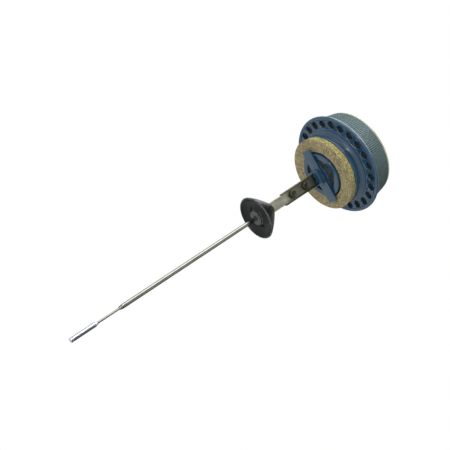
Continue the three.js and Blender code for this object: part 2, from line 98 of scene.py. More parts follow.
def size_of(node):
    low, high = (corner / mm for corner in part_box(node))
    middle = (low + high) / 2
    half = (high - low) / 2
    return SimpleNamespace(bottom=low.z, top=high.z, radius=half.y, middle=middle, half=half)


cork_size = size_of("cork_ring")
print(f"cork ring: radius {cork_size.radius:.1f} mm, thickness {cork_size.top - cork_size.bottom:.1f} mm")

# %% [markdown]
# ## Camera, backdrop and light
#
# The probe is shown from below and to one side, as if it were laid down on a table and turned: the
# camera is rolled so that the stem runs across the picture. A long lens keeps the circles of the head
# close to true ellipses. The camera's own right, up and back directions are kept, because the lamps are
# placed in those directions.

# %% Camera
camera_place = Vector((-96.1, -648.5, -471.3)) * mm
camera_aim = Vector((-3.9, 51.8, -96.1)) * mm
camera_roll = math.radians(57.0)

camera_data = bpy.data.cameras.new("studio_camera")
camera_data.lens = 64
camera_data.sensor_width = 36
camera_data.clip_start = 0.01
camera = add_object("studio_camera", camera_data)
look = (camera_aim - camera_place).to_track_quat("-Z", "Y").to_matrix()
rolled = look @ Matrix.Rotation(camera_roll, 3, "Z")
camera.matrix_world = Matrix.Translation(camera_place) @ rolled.to_4x4()
bpy.context.scene.camera = camera
camera_right, camera_up, camera_back = (Vector(axis) for axis in camera.matrix_world.to_3x3().transposed())
print("the camera is", round((camera_place - camera_aim).length, 3), "m from the probe")

# %% [markdown]
# The world is a plain pale studio: the camera sees white, while the metal reflects a room that is bright
# above and greyer below, which draws a dark edge along the polished stem. Large area lamps give the soft
# light, and a long narrow one beside the camera draws the bright line down the middle of the stem. The
# floor is a plain pale plane far below, because this probe hangs in its tube and never stands; the
# camera sees it as white as the backdrop, so no horizon cuts the picture.


# %% World, floor and lamps
def white_to_camera(tree, lit, white_kind, output):
    """Camera rays find plain white, and all other rays find the lit shader."""
    white = tree.nodes.new(white_kind)
    white.inputs["Color"].default_value = (1, 1, 1, 1)
    path = tree.nodes.new("ShaderNodeLightPath")
    mix = tree.nodes.new("ShaderNodeMixShader")
    tree.links.new(path.outputs["Is Camera Ray"], mix.inputs[0])
    tree.links.new(lit, mix.inputs[1])
    tree.links.new(white.outputs[0], mix.inputs[2])
    tree.links.new(mix.outputs[0], output.inputs["Surface"])


def build_world():
    world = bpy.data.worlds.new("pale_studio")
    bpy.context.scene.world = world
    bpy.context.scene.view_settings.view_transform = "Standard"
    world.use_nodes = True
    tree = world.node_tree
    tree.nodes.clear()
    coordinates = tree.nodes.new("ShaderNodeTexCoord")
    upward = tree.nodes.new("ShaderNodeVectorMath")
    upward.operation = "DOT_PRODUCT"
    upward.inputs[1].default_value = (camera_up * 0.9 - camera_back * 0.3).normalized()
    tree.links.new(coordinates.outputs["Generated"], upward.inputs[0])
    room = tree.nodes.new("ShaderNodeValToRGB")
    room.color_ramp.elements[0].position = 0.3
    room.color_ramp.elements[0].color = (0.10, 0.10, 0.095, 1)
    room.color_ramp.elements[1].position = 0.8
    room.color_ramp.elements[1].color = (0.50, 0.51, 0.50, 1)
    half = tree.nodes.new("ShaderNodeMapRange")
    half.inputs["From Min"].default_value = -1
    tree.links.new(upward.outputs["Value"], half.inputs["Value"])
    tree.links.new(half.outputs["Result"], room.inputs["Fac"])
    lighting = tree.nodes.new("ShaderNodeBackground")
    tree.links.new(room.outputs["Color"], lighting.inputs["Color"])
    output = tree.nodes.new("ShaderNodeOutputWorld")
    white_to_camera(tree, lighting.outputs[0], "ShaderNodeBackground", output)


def build_floor(drop):
    mesh = bpy.data.meshes.new("studio_floor")
    reach = 60
    corners = [(-reach, -reach, drop), (reach, -reach, drop), (reach, reach, drop), (-reach, reach, drop)]
    mesh.from_pydata(corners, [], [(0, 1, 2, 3)])
    floor = add_object("studio_floor", mesh)
    pale = bpy.data.materials.new("pale_floor")
    pale.use_nodes = True
    tree = pale.node_tree
    shader = tree.nodes["Principled BSDF"]
    shader.inputs["Base Color"].default_value = (0.86, 0.86, 0.85, 1)
    shader.inputs["Roughness"].default_value = 0.9
    white_to_camera(tree, shader.outputs[0], "ShaderNodeEmission", tree.nodes["Material Output"])
    mesh.materials.append(pale)
    floor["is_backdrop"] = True


def soft_lamp(name, direction, distance, length, width, watts):
    """A soft box that faces the probe, with its long side along the stem."""
    data = bpy.data.lights.new(name, "AREA")
    data.shape = "RECTANGLE"
    data.size = length
    data.size_y = width
    data.energy = watts
    lamp = add_object(name, data)
    aim = Vector((0, 0, -60 * mm))
    lamp.location = aim + direction.normalized() * distance
    lamp.rotation_mode = "QUATERNION"
    lamp.rotation_quaternion = (aim - lamp.location).to_track_quat("-Z", "X")


def soft_sun():
    """A weak broad light from above, for the dial and the floor."""
    data = bpy.data.lights.new("roof_light", "SUN")
    data.energy = 1.1
    data.angle = math.radians(40)
    lamp = add_object("roof_light", data)
    lamp.rotation_euler = (math.radians(14), math.radians(-10), 0)


build_world()
build_floor(-1.0)
downward = Vector((0, 0, -1))
soft_lamp("overhead_box", camera_up * 1.0 + camera_back * 0.2 + camera_right * 0.15, 1.1, 1.1, 1.1, 9)
soft_lamp("front_strip", camera_back * 1.0 + camera_up * 0.3 - camera_right * 0.2, 1.3, 2.0, 0.14, 6)
soft_lamp("face_fill", downward * 0.9 + camera_back * 0.5 + camera_up * 0.35, 1.1, 0.7, 0.7, 1.6)
soft_lamp("side_box", camera_right * 1.0 + camera_back * 0.3 - camera_up * 0.2, 1.2, 0.8, 0.8, 1.2)
soft_lamp("back_box", -camera_back * 0.9 + camera_up * 0.8 + camera_right * 0.6, 1.2, 0.8, 0.8, 3)
soft_sun()

# %% [markdown]
# ## Mesh helpers
#
# Most of this object was made on a lathe, so one helper turns a closed outline of radius and height
# about the Z axis. Real turned and cast edges are never sharp, so the outlines are written as corners,
# each with the radius that rounds it, and a second helper draws the curves. Writing the corner list is
# the same work as reading a drawing, and the rounding catches the light.


# %% Rounded outlines
def rounded(corners, steps=4):
    """corners: (x, y) or (x, y, rounding). Gives the closed outline with each rounded corner as a curve."""
    outline = []
    count = len(corners)
    for index, corner in enumerate(corners):
        point = Vector(corner[:2])
        rounding = corner[2] if len(corner) > 2 else 0
        before = Vector(corners[index - 1][:2]) - point
        after = Vector(corners[(index + 1) % count][:2]) - point
        if rounding == 0:
            outline.append(point)
            continue
        first = point + before.normalized() * min(rounding, before.length * 0.48)
        last = point + after.normalized() * min(rounding, after.length * 0.48)
        for step in range(steps + 1):
            share = step / steps
            outline.append(first * (1 - share) ** 2 + point * 2 * share * (1 - share) + last * share**2)
    return outline


def resampled(outline, spacing):
    """The same closed outline with extra points, so that no edge is longer than spacing."""
    points = []
    for here, there in zip(outline, outline[1:] + outline[:1]):
        pieces = max(1, math.ceil((there - here).length / spacing))
        points += [here.lerp(there, piece / pieces) for piece in range(pieces)]
    return points


def rectangle(low_x, high_x, low_y, high_y, rounding=0, steps=4):
    """A closed rectangle; for a turned piece x is the radius and y the height."""
    corners = [(low_x, low_y), (high_x, low_y), (high_x, high_y), (low_x, high_y)]
    return rounded([(*corner, rounding) for corner in corners], steps)


def signed_area(outline):
    pairs = zip(outline, outline[1:] + outline[:1])
    return sum(here.x * there.y - there.x * here.y for here, there in pairs) / 2


# %% Turn an outline, or raise it into a plate
def new_piece(name, points, faces, sharp_angle=35):
    """Points in millimetres become a smooth-shaded mesh in metres, creased where faces meet steeply."""
    mesh = bpy.data.meshes.new(name)
    mesh.from_pydata([tuple(c * mm for c in point) for point in points], [], faces)
    mesh.update()
    piece = add_object(name, mesh)
    crease(piece, sharp_angle)
    return piece


def crease(piece, sharp_angle=35):
    piece.data.shade_smooth()
    piece.data.set_sharp_from_angle(angle=math.radians(sharp_angle))


def held_flat(outline, margin=0.15):
    """Adds a point just inside each end of a long straight that meets a rounding.

    The shading then bends only inside the margin, and the rest of the straight is lit as a true flat.
    """
    count = len(outline)
    points = []
    for index in range(count):
        before, here, there, after = (outline[(index + shift) % count] for shift in (-1, 0, 1, 2))
        straight = there - here
        points.append(here)
        if straight.length < 4 * margin:
            continue
        if (here - before).length * 4 < straight.length:
            points.append(here + straight.normalized() * margin)
        if (after - there).length * 4 < straight.length:
            points.append(there - straight.normalized() * margin)
    return points


def turned(name, outline, segments=160, centre=(0, 0), sharp_angle=35):
    """Turns a closed outline of (radius, height) about a vertical axis through centre."""
    outline = held_flat(outline)
    if signed_area(outline) < 0:
        outline = outline[::-1]
    points = []
    rows = []
    for corner in outline:
        on_axis = corner.x < 1e-6
        row = []
        for segment in range(1 if on_axis else segments):
            turn = math.tau * segment / segments
            row.append(len(points))
            x = centre[0] + corner.x * math.cos(turn)
            y = centre[1] + corner.x * math.sin(turn)
            points.append((x, y, corner.y))
        rows.append(row if not on_axis else row * segments)
    faces = []
    for low, high in zip(rows, rows[1:] + rows[:1]):
        for here in range(segments):
            there = (here + 1) % segments
            corners = [low[here], low[there], high[there], high[here]]
            face = list(dict.fromkeys(corners))
            if len(face) > 2:
                faces.append(face)
    return new_piece(name, points, faces, sharp_angle)


def rod(name, radius, bottom, top, segments, centre=(0, 0)):
    """A plain upright cylinder, to cut holes with."""
    return turned(name, rectangle(0, radius, bottom, top), segments, centre)


def prism(name, base, roof):
    """Walls between two outlines with the same number of (x, y, z) points, and a cap on each."""
    count = len(base)
    sides = [(i, (i + 1) % count, (i + 1) % count + count, i + count) for i in range(count)]
    caps = [tuple(range(count - 1, -1, -1)), tuple(range(count, 2 * count))]
    return new_piece(name, [*base, *roof], sides + caps)


def plate(name, outline, bottom, top):
    """A flat closed outline of (x, y), raised from bottom to top."""
    if signed_area(outline) < 0:
        outline = outline[::-1]
    return prism(name, [(p.x, p.y, bottom) for p in outline], [(p.x, p.y, top) for p in outline])


def joined(name, pieces):
    """Joins meshes that are already in place into one piece."""
    points = []
    faces = []
    for piece in pieces:
        first = len(points)
        points += [vertex.co / mm for vertex in piece.data.vertices]
        faces += [tuple(first + index for index in face.vertices) for face in piece.data.polygons]
        bpy.data.objects.remove(piece)
    return new_piece(name, points, faces)


# %% [markdown]
# Modifiers finish some pieces. Each is applied at once, so that the piece that rides on the frame is a
# plain mesh. A bevel rounds the long edges of the flat steel parts, which were sheared and tumbled.


# %% Apply modifiers
def evaluated_mesh(thing):
    """The plain mesh that an object's modifiers, curve or text come out as."""
    graph = bpy.context.evaluated_depsgraph_get()
    return bpy.data.meshes.new_from_object(thing.evaluated_get(graph))


def applied(piece, sharp_angle=35):
    """Replaces the piece's mesh by what its modifiers make of it."""
    mesh = evaluated_mesh(piece)
    piece.modifiers.clear()
    piece.data = mesh
    crease(piece, sharp_angle)
    return piece


def bevelled(piece, width, segments=3, angle=30):
    bevel = piece.modifiers.new("rounded_edges", "BEVEL")
    bevel.width = width * mm
    bevel.segments = segments
    bevel.limit_method = "ANGLE"
    bevel.angle_limit = math.radians(angle)
    return applied(piece)


def cut_with(piece, *cutters):
    """Cuts each cutter out of the piece, and throws the cutters away."""
    for cutter in cutters:
        boolean = piece.modifiers.new("cut", "BOOLEAN")
        boolean.operation = "DIFFERENCE"
        boolean.solver = "EXACT"
        boolean.object = cutter
    applied(piece)
    for cutter in cutters:
        bpy.data.objects.remove(cutter)
    return piece


# %% [markdown]
# ## Shader building blocks
#
# Three effects are shared by many finishes: an uneven coat, a mask of the outward edges, and the fine
# lines that drawing or brushing leaves in metal. On the enamels and metals the edge mask is wear rubbed by
# hands and tools; on the rubber it carries a painted highlight. Each is a node group with named inputs,
# built once. A group only puts out masks, values and heights; the shader itself stays in each material.


# %% Node helpers
def add_node(tree, kind, inputs=None, **settings):
    """Adds a node; an input may be a value or another node's socket."""
    node = tree.nodes.new(kind)
    for key, value in settings.items():
        setattr(node, key, value)
    for key, value in (inputs or {}).items():
        if isinstance(value, bpy.types.NodeSocket):
            tree.links.new(value, node.inputs[key])
        else:
            node.inputs[key].default_value = value
    return node


def math_node(tree, operation, first, second=0.0):
    return add_node(tree, "ShaderNodeMath", {0: first, 1: second}, operation=operation).outputs[0]


def mix_colour(tree, factor, first, second):
    node = add_node(tree, "ShaderNodeMix", {0: factor, 6: first, 7: second}, data_type="RGBA")
    return node.outputs[2]


def multiplied(tree, first, second):
    """Two colours multiplied, so that the second darkens the first."""
    inputs = {0: 1.0, 6: first, 7: second}
    return add_node(tree, "ShaderNodeMix", inputs, data_type="RGBA", blend_type="MULTIPLY").outputs[2]


def share_between(tree, value, none, full):
    """0 at none and 1 at full, straight between them and held beyond them."""
    inputs = {"Value": value, "From Min": none, "From Max": full}
    return add_node(tree, "ShaderNodeMapRange", inputs).outputs["Result"]


def object_place(tree):
    return add_node(tree, "ShaderNodeTexCoord").outputs["Object"]


def noise_at(tree, place, scale, detail, output="Fac"):
    inputs = {"Vector": place, "Scale": scale, "Detail": detail}
    return add_node(tree, "ShaderNodeTexNoise", inputs).outputs[output]


def ramp(tree, value, *stops):
    """A colour ramp through stops of (position, colour)."""
    node = add_node(tree, "ShaderNodeValToRGB", {"Fac": value})
    elements = node.color_ramp.elements
    while len(elements) < len(stops):
        elements.new(0.5)
    for element, (position, colour) in zip(elements, stops):
        element.position = position
        element.color = (*colour, 1) if isinstance(colour, tuple) else (colour, colour, colour, 1)
    return node.outputs["Color"]


def new_group(name, inputs, outputs):
    """A shader node group with float outputs; inputs maps a name to its default, a float or a vector."""
    tree = bpy.data.node_groups.new(name, "ShaderNodeTree")
    for title, default in inputs.items():
        vector = isinstance(default, tuple)
        kind = "NodeSocketVector" if vector else "NodeSocketFloat"
        socket = tree.interface.new_socket(name=title, in_out="INPUT", socket_type=kind)
        socket.default_value = default
    for title in outputs:
        tree.interface.new_socket(name=title, in_out="OUTPUT", socket_type="NodeSocketFloat")
    return tree, tree.nodes.new("NodeGroupInput").outputs, tree.nodes.new("NodeGroupOutput")


def use_group(tree, group, inputs):
    return add_node(tree, "ShaderNodeGroup", inputs, node_tree=group).outputs


# %% Shared effects
def build_uneven_coat():
    """Slow patches and fine specks, as on sprayed enamel, handled metal or moulded rubber."""
    tree, given, result = new_group(
        "uneven_coat", {"Patch Scale": 60.0, "Speck Scale": 900.0}, ["Patches", "Specks", "Height"]
    )
    place = object_place(tree)
    patches = noise_at(tree, place, given["Patch Scale"], 3.0)
    specks = noise_at(tree, place, given["Speck Scale"], 2.0)
    slow = math_node(tree, "MULTIPLY", patches, 0.7)
    fine = math_node(tree, "MULTIPLY", specks, 0.3)
    height = math_node(tree, "ADD", slow, fine)
    tree.links.new(patches, result.inputs["Patches"])
    tree.links.new(specks, result.inputs["Specks"])
    tree.links.new(height, result.inputs["Height"])
    return tree


def build_rubbed_edges():
    """A mask of the outward edges, found where a rounded normal leaves the true one, broken up by noise."""
    tree, given, result = new_group("edge_wear_and_glint", {"Reach": 0.0006, "Breakup Scale": 400.0}, ["Mask"])
    surface = add_node(tree, "ShaderNodeNewGeometry").outputs
    softened = add_node(tree, "ShaderNodeBevel", {"Radius": given["Reach"]}, samples=4).outputs[0]
    agreement = add_node(
        tree, "ShaderNodeVectorMath", {0: softened, 1: surface["Normal"]}, operation="DOT_PRODUCT"
    ).outputs["Value"]
    edge = share_between(tree, agreement, 0.995, 0.93)
    outward = math_node(tree, "GREATER_THAN", surface["Pointiness"], 0.503)
    broken = noise_at(tree, object_place(tree), given["Breakup Scale"], 4.0)
    patch = share_between(tree, broken, 0.38, 0.6)
    worn = math_node(tree, "MULTIPLY", math_node(tree, "MULTIPLY", edge, outward), patch)
    tree.links.new(worn, result.inputs["Mask"])
    return tree


def build_drawn_lines():
    """Noise stretched along one direction, for drawn, brushed and turned metal."""
    tree, given, result = new_group("drawn_lines", {"Stretch": (4000.0, 4000.0, 40.0)}, ["Lines"])
    stretched = add_node(
        tree, "ShaderNodeVectorMath", {0: object_place(tree), 1: given["Stretch"]}, operation="MULTIPLY"
    ).outputs["Vector"]
    tree.links.new(noise_at(tree, stretched, 1.0, 3.0), result.inputs["Lines"])
    return tree


uneven_coat = build_uneven_coat()
edge_wear_and_glint = build_rubbed_edges()
drawn_lines = build_drawn_lines()
print("shared effects:", [group.name for group in bpy.data.node_groups])


# %% Start a material
def new_material(name, **constants):
    """A Principled material with constants set on the shader's own sockets."""
    material = bpy.data.materials.new(name)
    material.use_nodes = True
    tree = material.node_tree
    shader = tree.nodes["Principled BSDF"]
    for title, value in constants.items():
        shader.inputs[title.replace("_", " ").title().replace("Ior", "IOR")].default_value = value
    return material, tree, shader


def bumped(tree, shader, height, distance, strength=1.0):
    inputs = {"Height": height, "Distance": distance * mm, "Strength": strength}
    bump = add_node(tree, "ShaderNodeBump", inputs)
    tree.links.new(bump.outputs["Normal"], shader.inputs["Normal"])


# %% [markdown]
# ## Finishes
#
# The blue is a thick stoved enamel: glossy, a little uneven, darker where it pooled, and rubbed to a
# paler tone on its edges. A coat layer gives the hard wet gloss over the softer colour below, and a slow
# noise bump gives the orange peel that sprayed enamel always has.


# %% Enamels
def enamel(name, deep, pale, edge, peel=0.02, gloss=0.2):
    material, tree, shader = new_material(
        name, coat_weight=0.55, coat_roughness=0.05, specular_ior_level=0.35
    )
    coat = use_group(tree, uneven_coat, {"Patch Scale": 45.0, "Speck Scale": 450.0})
    edge_mask = use_group(tree, edge_wear_and_glint, {"Reach": 0.7 * mm, "Breakup Scale": 350.0})
    body = ramp(tree, coat["Patches"], (0.3, deep), (0.72, pale))
    colour = mix_colour(tree, edge_mask["Mask"], body, (*edge, 1))
    tree.links.new(colour, shader.inputs["Base Color"])
    rough = ramp(tree, coat["Specks"], (0.35, gloss), (0.7, gloss + 0.08))
    tree.links.new(rough, shader.inputs["Roughness"])
    bumped(tree, shader, coat["Height"], peel)
    return material


blue_enamel = enamel("blue_enamel", (0.012, 0.044, 0.093), (0.025, 0.078, 0.140), (0.09, 0.19, 0.26))
cream_enamel = enamel("cream_enamel", (0.40, 0.41, 0.25), (0.50, 0.51, 0.34), (0.6, 0.6, 0.46), 0.015, 0.3)
pointer_red = enamel("pointer_red", (0.30, 0.02, 0.015), (0.40, 0.03, 0.02), (0.5, 0.08, 0.05), 0.01, 0.4)
print("enamels ready")

# %% [markdown]
# Cork is pressed from granules, so its colour comes in cells: each granule has its own tone, its rim is
# a dark line of binder, and here and there a granule has fallen out. Voronoi cells give exactly that.
# Two sizes of cell are mixed, because the granules are not sieved finely. The pressed face is painted
# greyer and darker as shade, and the side lighter and yellower as the light that falls on it.


# %% Cork
def cork_material():
    material, tree, shader = new_material("pressed_cork", roughness=0.88, specular_ior_level=0.25)
    place = object_place(tree)
    wobble = noise_at(tree, place, 500.0, 2.0, "Color")
    bent = add_node(tree, "ShaderNodeMix", {0: 0.0012, 4: place, 5: wobble}, data_type="VECTOR").outputs[1]
    granules = add_node(tree, "ShaderNodeTexVoronoi", {"Vector": bent, "Scale": 900.0})
    crumbs = add_node(tree, "ShaderNodeTexVoronoi", {"Vector": bent, "Scale": 2100.0})
    tone = add_node(tree, "ShaderNodeSeparateColor", {0: granules.outputs["Color"]}).outputs[0]
    crumb_tone = add_node(tree, "ShaderNodeSeparateColor", {0: crumbs.outputs["Color"]}).outputs[0]
    body = ramp(
        tree,
        tone,
        (0.0, (0.050, 0.036, 0.020)),
        (0.22, (0.21, 0.172, 0.092)),
        (0.6, (0.38, 0.325, 0.172)),
        (1.0, (0.72, 0.650, 0.39)),
    )
    fleck = ramp(
        tree,
        crumb_tone,
        (0.0, (0.07, 0.052, 0.032)),
        (0.3, (0.30, 0.25, 0.128)),
        (1.0, (0.74, 0.67, 0.39)),
    )
    mixed = mix_colour(tree, 0.45, body, fleck)
    coat = use_group(tree, uneven_coat, {"Patch Scale": 90.0, "Speck Scale": 2500.0})
    shade = ramp(tree, coat["Patches"], (0.3, 0.88), (0.65, 1.0))
    height = add_node(tree, "ShaderNodeSeparateXYZ", {0: place}).outputs["Z"]
    # Painted light and shade: the side is tinted lighter and yellower, the face darker and greyer.
    side = share_between(tree, height, 0.2 * mm, 1.4 * mm)
    painted_light_tint = mix_colour(tree, side, (0.80, 0.77, 0.76, 1), (0.94, 0.94, 0.70, 1))
    cork_with_painted_light = multiplied(tree, multiplied(tree, mixed, shade), painted_light_tint)
    tree.links.new(cork_with_painted_light, shader.inputs["Base Color"])
    crumbly = math_node(tree, "MULTIPLY", coat["Specks"], 0.6)
    pits = math_node(tree, "ADD", granules.outputs["Distance"], crumbly)
    bumped(tree, shader, pits, -0.35, 0.8)
    return material


pressed_cork = cork_material()
print("cork ready")

# %% [markdown]
# The bare metals differ mostly in colour, in roughness and in the direction of their lines. One function
# makes them all: drawn lines change the roughness and the bump a little, and a slow patchy tone stands
# for handling and age. The stretch vector says which way the lines run. Two metals also carry a painted
# shadow, placed by a map of one coordinate: on the strip it starts at the lower rivet and covers all above
# it, as the head's shadow, and on the bracket it spares one lit flange and darkens the channel's shaded
# rest.


# %% Metals
def metal(name, dark, light, stretch, rough, line_depth, edge=None, painted_shadow=None):
    """edge is the tone of rubbed edges; the last argument is a painted shadow: (axis, unshaded place, shaded
    place, share of light left).
    """
    material, tree, shader = new_material(name, metallic=1.0)
    coat = use_group(tree, uneven_coat, {"Patch Scale": 80.0, "Speck Scale": 1800.0})
    lines = use_group(tree, drawn_lines, {"Stretch": stretch})["Lines"]
    blend = math_node(tree, "MULTIPLY_ADD", coat["Patches"], 0.7)
    tree.links.new(math_node(tree, "MULTIPLY", lines, 0.35), blend.node.inputs[2])
    colour = ramp(tree, blend, (0.32, dark), (0.68, light))
    if edge:
        edge_mask = use_group(tree, edge_wear_and_glint, {"Reach": 0.4 * mm, "Breakup Scale": 600.0})
        colour = mix_colour(tree, edge_mask["Mask"], colour, (*edge, 1))
    # A painted shadow: the colour darkens from one place along an axis onwards.
    if painted_shadow:
        axis, unshaded_at, shaded_at, share = painted_shadow
        along = add_node(tree, "ShaderNodeSeparateXYZ", {0: object_place(tree)}).outputs[axis]
        shadow_share = share_between(tree, along, unshaded_at * mm, shaded_at * mm)
        painted_light_tint = mix_colour(tree, shadow_share, (1, 1, 1, 1), (share, share, share, 1))
        colour = multiplied(tree, colour, painted_light_tint)
    tree.links.new(colour, shader.inputs["Base Color"])
    tree.links.new(ramp(tree, lines, (0.3, rough[0]), (0.7, rough[1])), shader.inputs["Roughness"])
    bumped(tree, shader, lines, line_depth)
    return material


along_stem = (3500.0, 3500.0, 60.0)
across_stem = (900.0, 900.0, 5000.0)
stainless = metal(
    "drawn_stainless", (0.30, 0.30, 0.265), (0.40, 0.40, 0.35), along_stem, (0.14, 0.22), 0.0004
)
strip_steel = metal(
    "strip_steel",
    (0.36, 0.36, 0.29),
    (0.55, 0.55, 0.44),
    along_stem,
    (0.34, 0.5),
    0.008,
    # painted shadow of the head over the strip, from the lower rivet upwards
    painted_shadow=("Z", -51.0, -46.0, 0.55),
)
chromed = metal("chromed_bulb", (0.56, 0.59, 0.66), (0.66, 0.70, 0.77), along_stem, (0.12, 0.2), 0.0003)
passivated = metal(
    "passivated_steel",
    (0.14, 0.145, 0.075),
    (0.29, 0.30, 0.155),
    along_stem,
    (0.34, 0.5),
    0.01,
    edge=(0.4, 0.4, 0.26),
    # painted shade over the channel, sparing the lit flange on the -X side
    painted_shadow=("X", -5.3, -4.6, 0.5),
)
rivet_steel = metal(
    "rivet_steel",
    (0.045, 0.045, 0.032),
    (0.11, 0.11, 0.085),
    across_stem,
    (0.34, 0.48),
    0.01,
    edge=(0.34, 0.34, 0.28),
)
spring_steel = metal("spring_steel", (0.18, 0.18, 0.18), (0.34, 0.34, 0.33), across_stem, (0.3, 0.5), 0.006)
brass = metal("turned_brass", (0.42, 0.28, 0.09), (0.66, 0.47, 0.18), across_stem, (0.2, 0.38), 0.004)
print("metals ready")

# %% [markdown]
# The grip's ribs keep their grey-green coat; the bottoms of its small cells are painted shade.
# Rubber is nearly black with fine specks in its gloss, and its edges carry a paler painted highlight, as
# along the cone's rim bead. Felt is all roughness. The window is clear with a faint smear in its roughness,
# and its index is as low as a coated glass behaves, so that lamps don't hide the dial; it lets shadow rays
# through, so that the dial below it is lit. The dial is a matt printed white.


# %% Grip, rubber, felt, glass and dial print
def grip_material(name, dark, light):
    material, tree, shader = new_material(name, metallic=0.3)
    coat = use_group(tree, uneven_coat, {"Patch Scale": 30.0, "Speck Scale": 1600.0})
    tree.links.new(ramp(tree, coat["Patches"], (0.3, dark), (0.7, light)), shader.inputs["Base Color"])
    tree.links.new(ramp(tree, coat["Specks"], (0.3, 0.34), (0.7, 0.52)), shader.inputs["Roughness"])
    bumped(tree, shader, coat["Specks"], 0.01)
    return material


def soft_material(name, dark, light, rough, patch_scale, grain_depth, edge=None, **constants):
    material, tree, shader = new_material(name, **constants)
    coat = use_group(tree, uneven_coat, {"Patch Scale": patch_scale, "Speck Scale": 2200.0})
    colour = ramp(tree, coat["Patches"], (0.32, dark), (0.72, light))
    # On the rubber, the only soft finish with an edge colour, the paler edge is a painted highlight.
    if edge:
        edge_mask = use_group(tree, edge_wear_and_glint, {"Reach": 1.0 * mm, "Breakup Scale": 60.0})
        colour = mix_colour(tree, edge_mask["Mask"], colour, (*edge, 1))
    tree.links.new(colour, shader.inputs["Base Color"])
    tree.links.new(ramp(tree, coat["Specks"], (0.3, rough[0]), (0.7, rough[1])), shader.inputs["Roughness"])
    bumped(tree, shader, coat["Specks"], grain_depth)
    return material


def lens_material():
    material, tree, shader = new_material("clear_lens", transmission_weight=1.0, ior=1.18)
    shader.inputs["Base Color"].default_value = (0.97, 0.99, 0.985, 1)
    coat = use_group(tree, uneven_coat, {"Patch Scale": 40.0, "Speck Scale": 1200.0})
    tree.links.new(ramp(tree, coat["Patches"], (0.45, 0.0), (0.8, 0.03)), shader.inputs["Roughness"])
    clear = add_node(tree, "ShaderNodeBsdfTransparent")
    shadow = add_node(tree, "ShaderNodeLightPath").outputs["Is Shadow Ray"]
    mix = add_node(tree, "ShaderNodeMixShader", {0: shadow, 1: shader.outputs[0], 2: clear.outputs[0]})
    tree.links.new(mix.outputs[0], tree.nodes["Material Output"].inputs["Surface"])
    return material


grip_wrap = grip_material("grip_wrap", (0.082, 0.138, 0.144), (0.112, 0.172, 0.178))
# Painted shade: the cell bottoms are coloured near black for the shade inside the recesses.
grip_recess_shade = grip_material("grip_recess_shade", (0.004, 0.009, 0.010), (0.009, 0.016, 0.017))
black_rubber = soft_material(
    "black_rubber",
    (0.003, 0.0035, 0.004),
    (0.007, 0.008, 0.009),
    (0.26, 0.38),
    70.0,
    0.008,
    # painted highlight along the rubber's edges, such as the cone's rim bead
    edge=(0.26, 0.30, 0.32),
    specular_ior_level=0.3,
)
grey_fibre = soft_material("grey_fibre", (0.055, 0.058, 0.06), (0.085, 0.09, 0.092), (0.5, 0.7), 200.0, 0.03)
dark_felt = soft_material(
    "dark_felt",
    (0.002, 0.002, 0.003),
    (0.05, 0.052, 0.055),
    (0.9, 1.0),
    700.0,
    0.15,
    specular_ior_level=0.1,
)
dial_white = soft_material("dial_white", (0.53, 0.52, 0.46), (0.60, 0.59, 0.53), (0.5, 0.6), 40.0, 0.004)
dial_black = soft_material("dial_black", (0.01, 0.01, 0.011), (0.02, 0.02, 0.022), (0.4, 0.5), 300.0, 0.002)
clear_lens = lens_material()
print("finishes:", len(bpy.data.materials))


# %% Put a finished piece on its body
def fit(piece, body, slot, material, *nodes):
    """Gives the piece its material, and makes it ride on a body and stand for CAD nodes."""
    piece.data.materials.clear()
    piece.data.materials.append(material)
    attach(piece, body)
    if nodes:
        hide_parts(*nodes)
    print(f"{piece.name}: {len(piece.data.polygons)} faces on {body}")
    return piece


# %% [markdown]
# ## Geometry Nodes helpers
#
# What repeats is made by Geometry Nodes: vents, the lattice of the grip, gauze wires, screws, dial ticks
# and spring turns. A tree is built here in code, with named inputs, and its modifier is given values
# through each socket's identifier. When the tree has run, the result is copied into a plain mesh, and
# the part that it copied is removed.


# %% Build and run a tree
def new_tree(name, inputs):
    """A geometry tree; inputs maps a name to its socket kind, such as Float, Int, Object or Material."""
    tree = bpy.data.node_groups.new(name, "GeometryNodeTree")
    tree.is_modifier = True
    tree.interface.new_socket(name="Geometry", in_out="INPUT", socket_type="NodeSocketGeometry")
    for title, kind in inputs.items():
        tree.interface.new_socket(name=title, in_out="INPUT", socket_type="NodeSocket" + kind)
    tree.interface.new_socket(name="Geometry", in_out="OUTPUT", socket_type="NodeSocketGeometry")
    return tree, tree.nodes.new("NodeGroupInput").outputs


def end_tree(tree, geometry, material):
    """Every tree ends by making its instances real and giving them their material."""
    real = add_node(tree, "GeometryNodeRealizeInstances", {0: geometry}).outputs[0]
    painted = add_node(tree, "GeometryNodeSetMaterial", {"Geometry": real, "Material": material}).outputs[0]
    add_node(tree, "NodeGroupOutput", {0: painted})


def grown(name, tree, values, sharp_angle=35):
    """A plain mesh of what the tree makes of these values; objects among them are used up by it."""
    piece = new_piece(name, [(0, 0, 0)], [])
    modifier = piece.modifiers.new(tree.name, "NODES")
    modifier.node_group = tree
    for item in tree.interface.items_tree:
        if item.in_out == "INPUT" and item.name in values:
            modifier[item.identifier] = values[item.name]
    applied(piece, sharp_angle)
    for value in values.values():
        if isinstance(value, bpy.types.Object):
            bpy.data.objects.remove(value)
    return piece


def vector(tree, x=0.0, y=0.0, z=0.0):
    return add_node(tree, "ShaderNodeCombineXYZ", {"X": x, "Y": y, "Z": z}).outputs[0]


def instances(tree, places, part, **pose):
    """A copy of the part on each place, with the Rotation or the Scale in pose."""
    shape = add_node(tree, "GeometryNodeObjectInfo", {"Object": part}).outputs["Geometry"]
    inputs = {"Points": places, "Instance": shape, **pose}
    return add_node(tree, "GeometryNodeInstanceOnPoints", inputs).outputs[0]


